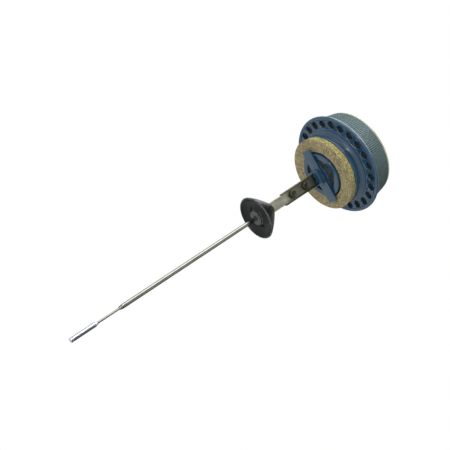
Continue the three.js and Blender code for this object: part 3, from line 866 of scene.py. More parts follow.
def ring_of_places(tree, count, radius, height):
    """The points of a circle about Z, each turned to face outwards."""
    circle = add_node(tree, "GeometryNodeMeshCircle", {"Vertices": count, "Radius": radius}).outputs[0]
    raised = {"Geometry": circle, "Offset": vector(tree, z=height)}
    places = add_node(tree, "GeometryNodeSetPosition", raised).outputs[0]
    index = add_node(tree, "GeometryNodeInputIndex").outputs[0]
    step = math_node(tree, "DIVIDE", math.tau, count)
    turn = math_node(tree, "MULTIPLY", index, step)
    return places, vector(tree, z=turn)


def build_ring_tree():
    """Copies of one object round a circle, each turned to face outwards."""
    tree, given = new_tree(
        "copies_round_a_circle",
        {"Part": "Object", "Count": "Int", "Radius": "Float", "Height": "Float", "Finish": "Material"},
    )
    places, facing = ring_of_places(tree, given["Count"], given["Radius"], given["Height"])
    end_tree(tree, instances(tree, places, given["Part"], Rotation=facing), given["Finish"])
    return tree


ring_tree = build_ring_tree()


def copies_round(name, part, count, radius, height, finish, first_turn=0.0):
    """One mesh with count copies of part round the axis."""
    values = {"Part": part, "Count": count, "Radius": radius * mm, "Height": height * mm, "Finish": finish}
    copies = grown(name, ring_tree, values)
    copies.data.transform(Matrix.Rotation(first_turn, 4, "Z"))
    return copies


print("tree inputs:", [item.name for item in ring_tree.interface.items_tree])

# %% [markdown]
# ## The head casting
#
# The blue casting runs from the lip that holds the cork, through a waisted neck, to a flat face with 24
# vents and a rolled rim. It is one turned outline. A fine bead stands where the neck meets the face, and
# its crest catches the light; a groove parts the face from the rim. The vents are cut by one cutter
# shape, copied round the circle by Geometry Nodes. The cutter flares at its mouth, so every vent gets a
# rounded edge.

# %% Vented casting
flange = size_of("vent_flange")
vent_count = 24
vent_circle = 45.3
vent_radius = 3.85
vent_face = 20.8
vent_wall = 1.8
vent_flare = 0.7
lip_radius = 38.3
lip_top = 11.8
casting_hole = 24.2


def neck_curve(steps=22):
    """The waisted neck, as a half wave between the lip and the vent face."""
    face_edge, waist = 38.9, 34.5
    points = []
    for step in range(steps + 1):
        share = step / steps
        edge = lip_radius + (face_edge - lip_radius) * share
        radius = edge - ((lip_radius + face_edge) / 2 - waist) * math.sin(math.pi * share) ** 0.85
        points.append((radius, lip_top + (vent_face - 0.7 - lip_top) * share))
    return points


def build_casting():
    wall_top = vent_face + vent_wall
    rim = flange.radius
    corners = [(casting_hole, flange.bottom, 0.3), (lip_radius, flange.bottom, 0.7), *neck_curve()]
    corners += [
        (39.9, vent_face - 0.75, 0.45),
        (40.3, vent_face, 0.3),
        (49.3, vent_face),
        (49.6, vent_face + 0.7, 0.2),
        (50.1, vent_face - 0.05, 0.5),
        (rim - 0.6, vent_face + 0.05, 1.0),
        (rim, flange.top - 1.9, 0.9),
        (rim - 1.0, flange.top, 0.5),
        (50.9, flange.top, 0.3),
        (50.9, wall_top),
        (39.4, wall_top, 0.8),
        (32.8, 17.5, 2.0),
        (32.8, 10.0, 1.0),
        (casting_hole, 10.0, 0.3),
    ]
    casting = turned("vent_casting", rounded(corners, 6), 192)
    mouth = vent_radius + vent_flare
    cutter_outline = rounded(
        [
            (0, vent_face - 1),
            (mouth + 0.6, vent_face - 1),
            (mouth, vent_face),
            (vent_radius, vent_face + 0.55, 0.6),
            (vent_radius, wall_top + 1),
            (0, wall_top + 1),
        ]
    )
    cutter = turned("vent_cutter", cutter_outline, 28)
    cutters = copies_round("vent_cutters", cutter, vent_count, vent_circle, 0, blue_enamel)
    return cut_with(casting, cutters)


fit(build_casting(), "head", "blue_enamel", blue_enamel, "vent_flange")

# %% [markdown]
# ## The cork
#
# A pressed cork ring has crumbly edges and a surface of small hollows, and both show in its outline, so
# they are real geometry and not only a bump. The section is resampled finely, turned, and every point is
# then pushed inwards by two sizes of noise. The push is only ever inwards, so the ring keeps its size.


# %% Cork ring
cork_hole = 24.7


def build_cork():
    outline = rounded(
        [
            (cork_hole, cork_size.bottom, 0.7),
            (cork_size.radius, cork_size.bottom, 1.1),
            (37.8, cork_size.top, 0.7),
            (cork_hole, cork_size.top, 0.7),
        ],
        3,
    )
    ring = turned("cork_seal", resampled(outline, 0.62), 400, sharp_angle=180)
    middle_radius = (cork_hole + cork_size.radius) / 2
    middle_height = (cork_size.bottom + cork_size.top) / 2
    for vertex in ring.data.vertices:
        place = vertex.co / mm
        radius = math.hypot(place.x, place.y)
        grain = noise.noise(place * 0.9) * 0.5 + noise.noise(place * 2.3) * 0.5
        pit = max(0.0, 0.34 - noise.voronoi(place * 0.55)[0][0])
        depth = 0.16 * (0.5 + grain * 0.5) + 0.7 * pit
        inward = Vector((place.x / radius, place.y / radius, 0)) * (1 if radius < middle_radius else -1)
        level = 1 if place.z < middle_height else -1
        near_face = min(abs(place.z - cork_size.bottom), abs(place.z - cork_size.top)) < 0.5
        direction = Vector((0, 0, level)) if near_face else inward
        vertex.co += direction * depth * mm
    return ring


fit(build_cork(), "head", "cork", pressed_cork, "cork_ring")

# %% [markdown]
# ## The hub
#
# A pressed blue cup sits in the cork's hole. Its floor has two windows that follow the cup's edge on the
# outside and a circle about the middle on the inside. The cup is turned, and the windows are cut with
# two flat outlines. A gauze lies behind them: two layers of waved wires, each wire as long as the chord
# of the circle, which Geometry Nodes works out from the wire's place. The wires stop at a bound hole,
# which is wide enough for the boss of the hub and for the spindle inside it.

# %% Hub cup
hub = size_of("hub_cup")
window_outer = 18.2
window_chord = 7.0
window_inner = 10.0
cup_radius = 23.5
cup_wall = 1.5
ledge_radius = 31.5
ledge_bottom = 10.3
boss_radius = 5.5
boss_top = 3.0
spindle_hole = 3.1


def window_outline(side, steps=24):
    """One window: an arc near the cup's edge, and back along a smaller arc, cut off at the chord."""
    outer_end = math.asin(window_chord / window_outer)
    inner_end = math.asin(window_chord / window_inner)
    corners = []
    for step in range(steps + 1):
        turn = outer_end + (math.pi - 2 * outer_end) * step / steps
        corners.append(Vector((window_outer * math.cos(turn), side * window_outer * math.sin(turn))))
    for step in range(steps + 1):
        turn = math.pi - inner_end - (math.pi - 2 * inner_end) * step / steps
        corners.append(Vector((window_inner * math.cos(turn), side * window_inner * math.sin(turn))))
    return corners


def build_hub():
    floor_top = hub.bottom + 1.6
    ledge_top = ledge_bottom + cup_wall
    corners = [
        (spindle_hole, hub.bottom, 0.4),
        (cup_radius, hub.bottom, 1.3),
        (cup_radius, ledge_bottom, 0.4),
        (ledge_radius, ledge_bottom, 0.3),
        (ledge_radius, ledge_top, 0.4),
        (cup_radius - cup_wall, ledge_top, 1.0),
        (cup_radius - cup_wall, floor_top, 0.8),
        (boss_radius, floor_top, 0.5),
        (boss_radius, boss_top, 0.4),
        (spindle_hole, boss_top, 0.3),
    ]
    cup = turned("hub_pressing", rounded(corners, 4), 144)
    low, high = hub.bottom - 1, floor_top + 1
    cutters = [plate("window_cutter", window_outline(side), low, high) for side in (1, -1)]
    return bevelled(cut_with(cup, *cutters), 0.28, 3, 50)


fit(build_hub(), "head", "blue_enamel", blue_enamel, "hub_cup")


# %% Gauze behind the windows
def build_wire_tree():
    """Parallel wires across a disc, each as long as the disc is wide at its place."""
    tree, given = new_tree(
        "wires_across_a_disc",
        {"Wire": "Object", "Count": "Int", "Disc Radius": "Float", "Finish": "Material"},
    )
    outermost = 0.97
    last = math_node(tree, "SUBTRACT", given["Count"], 1.0)
    span = math_node(tree, "MULTIPLY", given["Disc Radius"], 2 * outermost)
    pitch = math_node(tree, "DIVIDE", span, last)
    start = math_node(tree, "MULTIPLY", given["Disc Radius"], -outermost)
    row = {
        "Count": given["Count"],
        "Start Location": vector(tree, x=start),
        "Offset": vector(tree, x=pitch),
    }
    line = add_node(tree, "GeometryNodeMeshLine", row).outputs[0]
    place = add_node(tree, "GeometryNodeInputPosition").outputs[0]
    across = add_node(tree, "ShaderNodeSeparateXYZ", {0: place}).outputs["X"]
    share = math_node(tree, "DIVIDE", across, given["Disc Radius"])
    squared = math_node(tree, "MULTIPLY", share, share)
    chord = math_node(tree, "SQRT", math_node(tree, "SUBTRACT", 1.0, squared))
    scale = vector(tree, 1.0, chord, 1.0)
    end_tree(tree, instances(tree, line, given["Wire"], Scale=scale), given["Finish"])
    return tree


wire_tree = build_wire_tree()


def straight_wire(length, radius, height, waves):
    """A thin six-sided wire along Y that rises and falls as a woven wire does."""
    steps = waves * 2
    points = []
    faces = []
    for step in range(steps + 1):
        y = length * (step / steps - 0.5)
        z = height + radius * 0.8 * (-1) ** step
        for side in range(6):
            turn = math.tau * side / 6
            points.append((radius * math.cos(turn), y, z + radius * math.sin(turn)))
    for step in range(steps):
        for side in range(6):
            here, there = step * 6 + side, step * 6 + (side + 1) % 6
            faces.append((here, here + 6, there + 6, there))
    faces.append(tuple(range(6)))
    faces.append(tuple(range(steps * 6 + 5, steps * 6 - 1, -1)))
    return new_piece("gauze_wire", points, faces)


gauze_hole = boss_radius + 0.4
binding_width = 0.8


def build_gauze():
    screen = size_of("filter_screen")
    radius = screen.radius
    wire_radius = (screen.top - screen.bottom) / 5
    layers = []
    for turn, lift in ((0, -0.4), (math.pi / 2, 0.4)):
        wire = straight_wire(2 * radius, wire_radius, screen.middle.z + lift * wire_radius, 16)
        values = {"Wire": wire, "Count": 33, "Disc Radius": radius * mm, "Finish": spring_steel}
        layer = grown("gauze_layer", wire_tree, values)
        layer.data.transform(Matrix.Rotation(turn, 4, "Z"))
        hole = rod("gauze_cutter", gauze_hole, screen.bottom - 1, screen.top + 1, 64)
        layers.append(cut_with(layer, hole))
    for inner in (gauze_hole, radius - binding_width):
        binding = rectangle(inner, inner + binding_width, screen.bottom, screen.top)
        layers.append(turned("gauze_binding", binding, 96))
    return joined("gauze_screen", layers)


fit(build_gauze(), "head", "spring_steel", spring_steel, "filter_screen")

# %% [markdown]
# ## The drum and its grip
#
# The drum is a plain tapered shell, and what the hand feels is the wrap round it: a fine square lattice
# pressed into sheet. Its ribs run both ways, so Geometry Nodes make the upright ribs as copies round the
# circle and the hoops as copies up the height, each hoop scaled to the taper. The gaps between the ribs
# are real recesses with painted shade on their bottoms, so the band looks darker where it is seen straight
# on.

# %% Drum shell
shell = size_of("drum_shell")
grip = size_of("grip_mesh")
shell_top_radius = 45.3
dial_bore = 43.6
dial_seat = 41.3


def build_shell():
    corners = [
        (shell.radius, shell.bottom, 0.2),
        (shell_top_radius, shell.top, 0.3),
        (dial_bore, shell.top, 0.2),
        (dial_bore, dial_seat),
        (41.0, dial_seat, 0.2),
        (41.0, 40.2, 0.2),
        (45.2, 37.2, 1.0),
        (shell.radius - 1.6, shell.bottom, 0.2),
    ]
    return turned("drum_casing", rounded(corners), 144)


fit(build_shell(), "head", "blue_enamel", blue_enamel, "drum_shell")


# %% Lattice of the grip
def drum_radius_at(height):
    share = (height - shell.bottom) / (shell.top - shell.bottom)
    return shell.radius + (shell_top_radius - shell.radius) * share


def build_taper_tree():
    """Hoops up a tapered drum: each copy of a unit ring is scaled to the drum's radius at its height."""
    tree, given = new_tree(
        "hoops_up_a_taper",
        {
            "Hoop": "Object",
            "Count": "Int",
            "Bottom": "Float",
            "Pitch": "Float",
            "Bottom Scale": "Float",
            "Top Scale": "Float",
            "Finish": "Material",
        },
    )
    column = {
        "Count": given["Count"],
        "Start Location": vector(tree, z=given["Bottom"]),
        "Offset": vector(tree, z=given["Pitch"]),
    }
    line = add_node(tree, "GeometryNodeMeshLine", column).outputs[0]
    index = add_node(tree, "GeometryNodeInputIndex").outputs[0]
    last = math_node(tree, "SUBTRACT", given["Count"], 1.0)
    wide = add_node(
        tree,
        "ShaderNodeMapRange",
        {"Value": index, "From Max": last, "To Min": given["Bottom Scale"], "To Max": given["Top Scale"]},
    ).outputs["Result"]
    scale = vector(tree, wide, wide, 1.0)
    end_tree(tree, instances(tree, line, given["Hoop"], Scale=scale), given["Finish"])
    return tree


def build_grip():
    pitch = 2.0
    rib = 0.72
    depth = 0.55
    crown = 0.12
    rows = int((grip.top - grip.bottom) / pitch)
    row_pitch = (grip.top - grip.bottom - rib) / rows
    lean = drum_radius_at(grip.top) - drum_radius_at(grip.bottom)
    bottom_radius = grip.radius
    top_radius = bottom_radius + lean
    columns = int(math.tau * (bottom_radius + top_radius) / 2 / pitch)
    backing_inner, backing_outer = -depth - 0.04, -depth + 0.12
    backing_outline = [
        Vector((bottom_radius + backing_inner, grip.bottom)),
        Vector((bottom_radius + backing_outer, grip.bottom)),
        Vector((top_radius + backing_outer, grip.top)),
        Vector((top_radius + backing_inner, grip.top)),
    ]
    base = turned("grip_backing", backing_outline, columns)
    section = [(-depth, -rib / 2), (-crown, -rib / 2), (0, 0), (-crown, rib / 2), (-depth, rib / 2)]
    hoop_outline = [Vector((bottom_radius + out, along)) for out, along in section]
    hoop = turned("grip_hoop", hoop_outline, columns)
    values = {
        "Hoop": hoop,
        "Count": rows + 1,
        "Bottom": (grip.bottom + rib / 2) * mm,
        "Pitch": row_pitch * mm,
        "Bottom Scale": 1.0,
        "Top Scale": top_radius / bottom_radius,
        "Finish": grip_wrap,
    }
    hoops = grown("grip_hoops", build_taper_tree(), values)
    foot = [(out, along, grip.bottom) for out, along in section]
    upright = prism("grip_rib", foot, [(out + lean, along, grip.top) for out, along in section])
    uprights = copies_round("grip_ribs", upright, columns, bottom_radius, 0, grip_wrap)
    print(f"grip lattice: {columns} ribs and {rows + 1} hoops")
    return base, joined("grip_lattice", [hoops, uprights])


grip_backing, grip_lattice = build_grip()
# The backing is the cell bottoms, with the painted shade.
fit(grip_backing, "head", "grip_steel", grip_recess_shade)
fit(grip_lattice, "head", "grip_steel", grip_wrap, "grip_mesh")

# %% [markdown]
# The bezel closes the drum: a pale ring with a rolled edge that clamps the window. Only its outer edge
# shows from below, but from above it frames the dial, so its section is a real one, with a step that
# sits on the shell. The felt that keeps dust out of the vents is a ring with a rough, hairy surface.


# %% Bezel, lens, gasket, spacer and felt
def build_bezel():
    bezel = size_of("bezel_ring")
    corners = [
        (40.5, bezel.bottom + 1.1, 0.2),
        (dial_bore, bezel.bottom + 1.1),
        (dial_bore, bezel.bottom, 0.2),
        (bezel.radius, bezel.bottom, 0.5),
        (bezel.radius, bezel.top, 1.0),
        (40.5, bezel.top, 0.6),
    ]
    return turned("bezel", rounded(corners, 6), 192)


def plain_ring(name, node, inner, rounding, segments=128):
    ring = size_of(node)
    return turned(name, rectangle(inner, ring.radius, ring.bottom, ring.top, rounding, 3), segments)


def build_window():
    lens = size_of("dial_lens")
    corners = [
        (0, lens.bottom),
        (lens.radius, lens.bottom, 0.35),
        (lens.radius, lens.top, 0.35),
        (0, lens.top),
    ]
    return turned("window", rounded(corners, 3), 128)


felt_hole = 40.8
fit(build_bezel(), "head", "cream_enamel", cream_enamel, "bezel_ring")
spacer = plain_ring("spacer_ring", "dial_spacer", 41.6, 0.2)
fit(spacer, "head", "cream_enamel", cream_enamel, "dial_spacer")
gasket = plain_ring("window_gasket", "lens_gasket", 41.2, 0.3)
fit(gasket, "head", "black_rubber", black_rubber, "lens_gasket")
fit(build_window(), "head", "lens_clear", clear_lens, "dial_lens")
felt_clamp = plain_ring("filter_clamp", "filter_retainer", felt_hole, 0.25)
fit(felt_clamp, "head", "spring_steel", spring_steel, "filter_retainer")


# %% Felt behind the vents
def build_felt():
    """A ring whose every point is then lowered a little by the noise at its place."""
    felt = size_of("air_filter_ring")
    felt_hair = 0.1
    outline = rectangle(felt_hole, felt.radius, felt.bottom + felt_hair, felt.top, 0.4, 3)
    ring = turned("vent_felt", resampled(outline, 0.6), 320, sharp_angle=180)
    for vertex in ring.data.vertices:
        place = vertex.co / mm
        vertex.co.z -= felt_hair * mm * (0.5 + 0.5 * noise.noise(place * 1.7))
    return ring


fit(build_felt(), "head", "dark_felt", dark_felt, "air_filter_ring")

# %% [markdown]
# ## The lock: bar, saddle and stem bracket
#
# The bar is sheared plate with tumbled edges, so it is a flat outline with a bevel. The saddle is the
# block in its middle that carries the stem, and the bracket is a channel bent from sheet, with a round
# bend inside and out. All three are plates raised from their section, which is how they are drawn.

# %% Locking bar and saddle
bar = size_of("lock_bar")
saddle = size_of("stem_saddle")
bracket = size_of("stem_bracket")
strip = size_of("stem_strip")
sheet = 1.5
flange_sheet = 1.1


def rounded_block(name, half_x, half_y, bottom, top, corner, edge):
    outline = rectangle(-half_x, half_x, -half_y, half_y, corner, 5)
    return bevelled(plate(name, outline, bottom, top), edge, 4, 40)


def build_bar():
    body = rounded_block("locking_bar", bar.half.x, bar.half.y, bar.bottom, bar.top, 1.8, 0.45)
    return cut_with(body, rod("bar_hole", 2.5, -20, 20, 40))


def channel_outline(margin, bend=1.6):
    """The bracket's U section seen from above, grown by a margin, with its bends rounded."""
    x = bracket.half.x + margin
    back = bracket.middle.y + bracket.half.y + margin
    front = bracket.middle.y - bracket.half.y - margin
    inner_x = bracket.half.x - flange_sheet - margin
    inner_y = bracket.middle.y + bracket.half.y - sheet - margin
    edge = 0.35
    return rounded(
        [
            (-x, front, edge),
            (-inner_x, front, edge),
            (-inner_x, inner_y, bend * 0.4),
            (inner_x, inner_y, bend * 0.4),
            (inner_x, front, edge),
            (x, front, edge),
            (x, back, bend),
            (-x, back, bend),
        ],
        5,
    )


def build_saddle():
    """The block, with a slot for the bracket, a pocket for the spindle and a groove for the capillary."""
    low, high = saddle.bottom, saddle.top
    block = rounded_block("stem_saddle_block", saddle.half.x, saddle.half.y, low, high, 1.4, 0.6)
    slot = plate("slot_cutter", channel_outline(0.3, 0.8), low - 1, bracket.top + 0.3)
    pocket = rod("pocket_cutter", 3.9, high - 1.9, high + 1, 48)
    groove = plate("groove_cutter", rectangle(-1.2, 1.2, -0.4, 5.6), low - 1, high + 1)
    return cut_with(block, slot, pocket, groove)


fit(build_bar(), "stem", "blue_enamel", blue_enamel, "lock_bar")
fit(build_saddle(), "stem", "blue_enamel", blue_enamel, "stem_saddle")

# %% Bracket, strip and rivets
rivet_nodes = ["upper_rivet", "lower_rivet"]


def rivet_hole(node):
    """A cutter along Y at a rivet's height."""
    cutter = rod("rivet_hole", 2.2, -12, 12, 32)
    lift = Matrix.Translation((0, 0, size_of(node).middle.z * mm))
    cutter.data.transform(lift @ Matrix.Rotation(math.pi / 2, 4, "X"))
    return cutter


def build_bracket():
    channel = plate("stem_channel", channel_outline(0), bracket.bottom, bracket.top)
    return bevelled(cut_with(channel, *(rivet_hole(node) for node in rivet_nodes)), 0.16, 2, 50)


def build_strip():
    front = strip.middle.y - strip.half.y
    back = strip.middle.y + strip.half.y
    outline = rectangle(-strip.half.x, strip.half.x, front, back, 0.3, 3)
    body = plate("stem_strip_steel", outline, strip.bottom, strip.top)
    return bevelled(cut_with(body, *(rivet_hole(node) for node in rivet_nodes)), 0.14, 2, 50)


def build_rivet(node):
    """A rivet with a dished head, turned along its own length and laid along Y, head towards -Y."""
    rivet = size_of(node)
    head_reach = -(rivet.middle.y - rivet.half.y)
    tail_reach = -(rivet.middle.y + rivet.half.y)
    seat = head_reach - 2.2
    corners = [
        (0, tail_reach),
        (2.4, tail_reach, 0.5),
        (2.9, tail_reach + 1.0, 0.2),
        (1.9, tail_reach + 1.0),
        (1.9, seat),
        (rivet.half.x, seat, 0.25),
        (rivet.half.x - 0.2, seat + 1.3, 0.7),
        (3.1, head_reach, 0.5),
        (2.7, head_reach, 0.3),
        (2.2, head_reach - 1.0, 0.5),
        (0, head_reach - 1.15),
    ]
    body = turned(node + "_steel", rounded(corners, 6), 64)
    lift = Matrix.Translation((0, 0, rivet.middle.z * mm))
    body.data.transform(lift @ Matrix.Rotation(math.pi / 2, 4, "X"))
    return body


fit(build_bracket(), "stem", "passivated_steel", passivated, "stem_bracket")
fit(build_strip(), "stem", "stainless", strip_steel, "stem_strip")
for rivet_node in rivet_nodes:
    fit(build_rivet(rivet_node), "stem", "rivet_steel", rivet_steel, rivet_node)

# %% [markdown]
# ## The rubber cone
#
# The bell is moulded rubber, thin at its rim and thick at its nose, with a slot for the strip. Its
# outside is one gently convex curve, so the outline follows a formula and not a list: the radius grows
# a little faster below the nose than near the rim. The rim is a round bead. A grey fibre washer closes
# the middle.


# %% Rubber cone and washer
def build_cone():
    cone = size_of("cone_seal")
    height = cone.top - cone.bottom
    nose_radius = 5.8
    outer = []
    steps = 26
    for step in range(steps + 1):
        share = step / steps
        drop = cone.top - (height - 1.2) * share
        swell = 0.25 * math.sin(share * math.pi / 2) + 0.75 * share
        outer.append((nose_radius + (cone.radius - 0.25 - nose_radius) * swell, drop))
    outer[0] = (nose_radius, cone.top, 0.6)
    rim = [
        (cone.radius, cone.bottom + 0.75, 0.3),
        (cone.radius - 0.35, cone.bottom, 0.3),
        (cone.radius - 1.5, cone.bottom, 0.6),
        (cone.radius - 1.95, cone.bottom + 0.9, 0.6),
    ]
    inside = [
        (17.4, cone.bottom + 3.6, 2.5),
        (13.2, cone.bottom + 5.2, 3.5),
        (9.2, cone.bottom + 3.2, 2.0),
        (7.75, cone.bottom + 1.5, 0.3),
        (2.4, cone.bottom + 1.5, 0.2),
        (2.4, cone.bottom + 5.5),
        (4.5, cone.bottom + 5.5),
        (4.5, cone.top - 3.0),
        (0, cone.top - 3.0),
        (0, cone.top),
    ]
    body = turned("rubber_bell", rounded(outer + rim + inside, 6), 144, sharp_angle=40)
    half_x = strip.half.x + 0.12
    front = strip.middle.y - strip.half.y - 0.12
    slot = plate("strip_slot", rectangle(-half_x, half_x, front, 2.4), -76, -70)
    return cut_with(body, slot)


fit(build_cone(), "stem", "black_rubber", black_rubber, "cone_seal")
fibre_washer = plain_ring("fibre_washer", "cone_washer", 2.3, 0.25, 96)
fit(fibre_washer, "stem", "grey_washer", grey_fibre, "cone_washer")

# %% [markdown]
# ## Tube, neck and bulb
#
# The stem tube is drawn stainless, swaged down at its lower end onto a thin neck. The bulb that holds
# the sensing liquid is a bright capsule with a coned shoulder. They are turned from rounded outlines; a
# faint ring near each swaged end is the mark that the swaging die leaves.


# %% Stem tube, neck and bulb
def build_tube():
    tube = size_of("probe_tube")
    radius = tube.radius
    corners = [
        (1.5, tube.top, 0.2),
        (radius, tube.top, 0.3),
        (radius, tube.bottom + 7.0),
        (radius - 0.07, tube.bottom + 6.8),
        (radius - 0.07, tube.bottom + 6.2),
        (radius, tube.bottom + 6.0),
        (radius, tube.bottom + 3.2, 0.8),
        (1.5, tube.bottom, 0.3),
        (1.15, tube.bottom, 0.1),
        (1.15, tube.bottom + 2.0, 0.3),
        (1.5, tube.bottom + 3.0, 0.3),
    ]
    return turned("stem_tube", rounded(corners, 5), 64)


def build_neck():
    neck = size_of("bulb_neck")
    corners = [
        (0.45, neck.bottom, 0.1),
        (neck.radius, neck.bottom, 0.2),
        (neck.radius, neck.top, 0.2),
        (0.45, neck.top, 0.1),
    ]
    return turned("thin_neck", rounded(corners, 3), 40)


def build_bulb():
    bulb = size_of("sensing_bulb")
    radius = bulb.radius
    corners = [
        (0, bulb.bottom),
        (radius, bulb.bottom, 0.4),
        (radius, bulb.bottom + 2.0),
        (radius - 0.06, bulb.bottom + 2.15),
        (radius - 0.06, bulb.bottom + 2.5),
        (radius, bulb.bottom + 2.65),
        (radius, bulb.top - 2.2, 1.0),
        (radius - 0.35, bulb.top - 1.2, 0.6),
        (1.5, bulb.top, 0.3),
        (1.15, bulb.top, 0.1),
        (1.15, bulb.top - 2.2, 0.2),
        (1.7, bulb.top - 3.2, 0.4),
        (1.7, bulb.bottom + 1.2, 0.4),
        (0, bulb.bottom + 1.2),
    ]
    return turned("bulb", rounded(corners, 5), 64)


fit(build_tube(), "stem", "stainless", stainless, "probe_tube")
fit(build_neck(), "stem", "stainless", stainless, "bulb_neck")
fit(build_bulb(), "stem", "chromed", chromed, "sensing_bulb")

# %% [markdown]
# ## The capillary
#
# A hair-thin brass tube carries the pressure from the bulb to the movement. It runs up inside the stem
# tube, behind the strip and the bracket, and up through the hollow spindle. Its way is chosen to clear
# the rivets, so it stays a list of points, and a smooth curve is drawn through them. Above the spindle a
# loose loop takes up the travel of the lock; the loop is left on neither body.

# %% Capillary line and its loop
capillary_radius = 0.4
anchor_circle = 15.4
capillary_points = [
    (0, 0, 20.0),
    (0, 0, 12),
    (0, 0, 4),
    (0, 0, -3),
    (0, 0.1, -5.7),
    (0, 0.8, -6.7),
    (0, 2.4, -6.8),
    (0, 4.0, -7.3),
    (0, 4.5, -9),
    (-0.6, 4.2, -12),
    (-3.4, 3.6, -17),
    (-4.2, 3.6, -21),
    (-4.2, 3.6, -35),
    (-4.2, 3.6, -50),
    (-3.8, 3.6, -55),
    (-2.4, 2.6, -61),
    (-1.0, 2.1, -67),
    (0, 1.6, -71),
    (0, 1.45, -73.6),
    (0, 0.5, -75.4),
    (0, 0, -76.8),
    (0, 0, -81),
    (0, 0, -120),
    (0, 0, -180),
    (0, 0, -246.2),
]


def smooth_wire(name, places, radius, sides=10, steps=6):
    """A round wire through the places, as a Bezier curve turned into a mesh."""
    data = bpy.data.curves.new(name, "CURVE")
    data.dimensions = "3D"
    data.bevel_depth = radius * mm
    data.bevel_resolution = (sides - 4) // 2
    data.resolution_u = steps
    data.use_fill_caps = True
    spline = data.splines.new("BEZIER")
    spline.bezier_points.add(len(places) - 1)
    for knot, place in zip(spline.bezier_points, places):
        knot.co = Vector(place) * mm
        knot.handle_left_type = knot.handle_right_type = "AUTO"
    holder = add_object(name + "_route", data)
    piece = add_object(name, evaluated_mesh(holder))
    bpy.data.objects.remove(holder)
    crease(piece, 50)
    return piece


def loop_points():
    """One rising turn from the top of the line out to the anchor on the movement plate."""
    loop = size_of("capillary_pigtail")
    places = [(0, 0, loop.bottom)]
    turns = 9
    for step in range(1, turns):
        share = step / turns
        radius = anchor_circle * math.sqrt(share)
        height = loop.bottom + 1 + (loop.top - loop.bottom - 2.4) * share
        places.append((radius * math.cos(math.tau * share), radius * math.sin(math.tau * share), height))
    return places + [(anchor_circle, 0, loop.top - 0.8), (anchor_circle, 0, loop.top)]


fit(smooth_wire("capillary", capillary_points, capillary_radius), "stem", "brass", brass, "capillary_line")
pigtail = smooth_wire("capillary_loop", loop_points(), capillary_radius)
pigtail.data.materials.append(brass)
pigtail_size = size_of("capillary_pigtail")
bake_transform(pigtail)
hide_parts("capillary_pigtail")
steps_along = zip(capillary_points, capillary_points[1:])
print("capillary length:", round(sum(math.dist(here, there) for here, there in steps_along)), "mm")

# %% [markdown]
# ## Lock spring and turned fittings
#
# The spring under the washer pulls the bar up. A spring is a rule, so Geometry Nodes draw it: a spiral
# curve swept with a round wire, with inputs for its radius, its turns, its height and its wire. When the
# lock is pressed the spring flattens towards the hub boss.


# %% Spring
def build_spring_tree():
    sizes = ("Coil Radius", "Height", "Turns", "Wire Radius")
    tree, given = new_tree("wire_spring", {**dict.fromkeys(sizes, "Float"), "Finish": "Material"})
    spiral = add_node(
        tree,
        "GeometryNodeCurveSpiral",
        {
            "Resolution": 28,
            "Rotations": given["Turns"],
            "Start Radius": given["Coil Radius"],
            "End Radius": given["Coil Radius"],
            "Height": given["Height"],
        },
    ).outputs[0]
    section = add_node(
        tree, "GeometryNodeCurvePrimitiveCircle", {"Resolution": 12, "Radius": given["Wire Radius"]}
    ).outputs[0]
    sweep_inputs = {"Curve": spiral, "Profile Curve": section, "Fill Caps": True}
    wire = add_node(tree, "GeometryNodeCurveToMesh", sweep_inputs).outputs[0]
    end_tree(tree, wire, given["Finish"])
    return tree


def build_spring():
    spring = size_of("lock_spring")
    wire_radius = 0.8
    values = {
        "Coil Radius": 5.0 * mm,
        "Height": (spring.top - spring.bottom - 2 * wire_radius) * mm,
        "Turns": 4.5,
        "Wire Radius": wire_radius * mm,
        "Finish": spring_steel,
    }
    coil = grown("lock_spring_coil", build_spring_tree(), values, 50)
    coil.data.transform(Matrix.Translation((0, 0, (spring.bottom + wire_radius) * mm)))
    return coil


spring_piece = fit(build_spring(), "head", "spring_steel", spring_steel, "lock_spring")
spring_size = size_of("lock_spring")
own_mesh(spring_piece)


# %% Spindle, washer, clip and ferrule
def build_spindle():
    spindle = size_of("spindle")
    corners = [
        (1.2, spindle.bottom, 0.1),
        (3.4, spindle.bottom, 0.7),
        (3.4, -4.7, 0.2),
        (2.2, -4.7),
        (2.2, -2.3),
        (3.0, -2.3, 0.2),
        (3.0, 16.9, 0.1),
        (2.1, 16.9),
        (2.1, 18.3),
        (3.0, 18.3, 0.1),
        (3.0, spindle.top, 0.5),
        (1.2, spindle.top, 0.1),
    ]
    return turned("hollow_spindle", rounded(corners, 3), 64)


def build_clip():
    clip = plain_ring("retaining_clip", "spindle_clip", 2.4, 0.2, 64)
    clip_size = size_of("spindle_clip")
    mouth = rectangle(-1.7, 1.7, -7, -1)
    return cut_with(clip, plate("clip_gap", mouth, clip_size.bottom - 1, clip_size.top + 1))


def build_ferrule():
    ferrule = size_of("tube_ferrule")
    corners = [
        (0.9, ferrule.top, 0.1),
        (ferrule.radius, ferrule.top, 0.5),
        (ferrule.radius, ferrule.bottom, 0.5),
        (2.3, ferrule.bottom, 0.1),
        (2.3, ferrule.top - 2.6, 0.1),
        (0.9, ferrule.top - 2.6, 0.1),
    ]
    return turned("brass_ferrule", rounded(corners, 3), 64)


fit(build_spindle(), "stem", "stainless", stainless, "spindle")
spring_seat = plain_ring("spring_seat", "spring_washer", 3.3, 0.2, 64)
fit(spring_seat, "stem", "spring_steel", spring_steel, "spring_washer")
fit(build_clip(), "stem", "spring_steel", spring_steel, "spindle_clip")
fit(build_ferrule(), "stem", "brass", brass, "tube_ferrule")


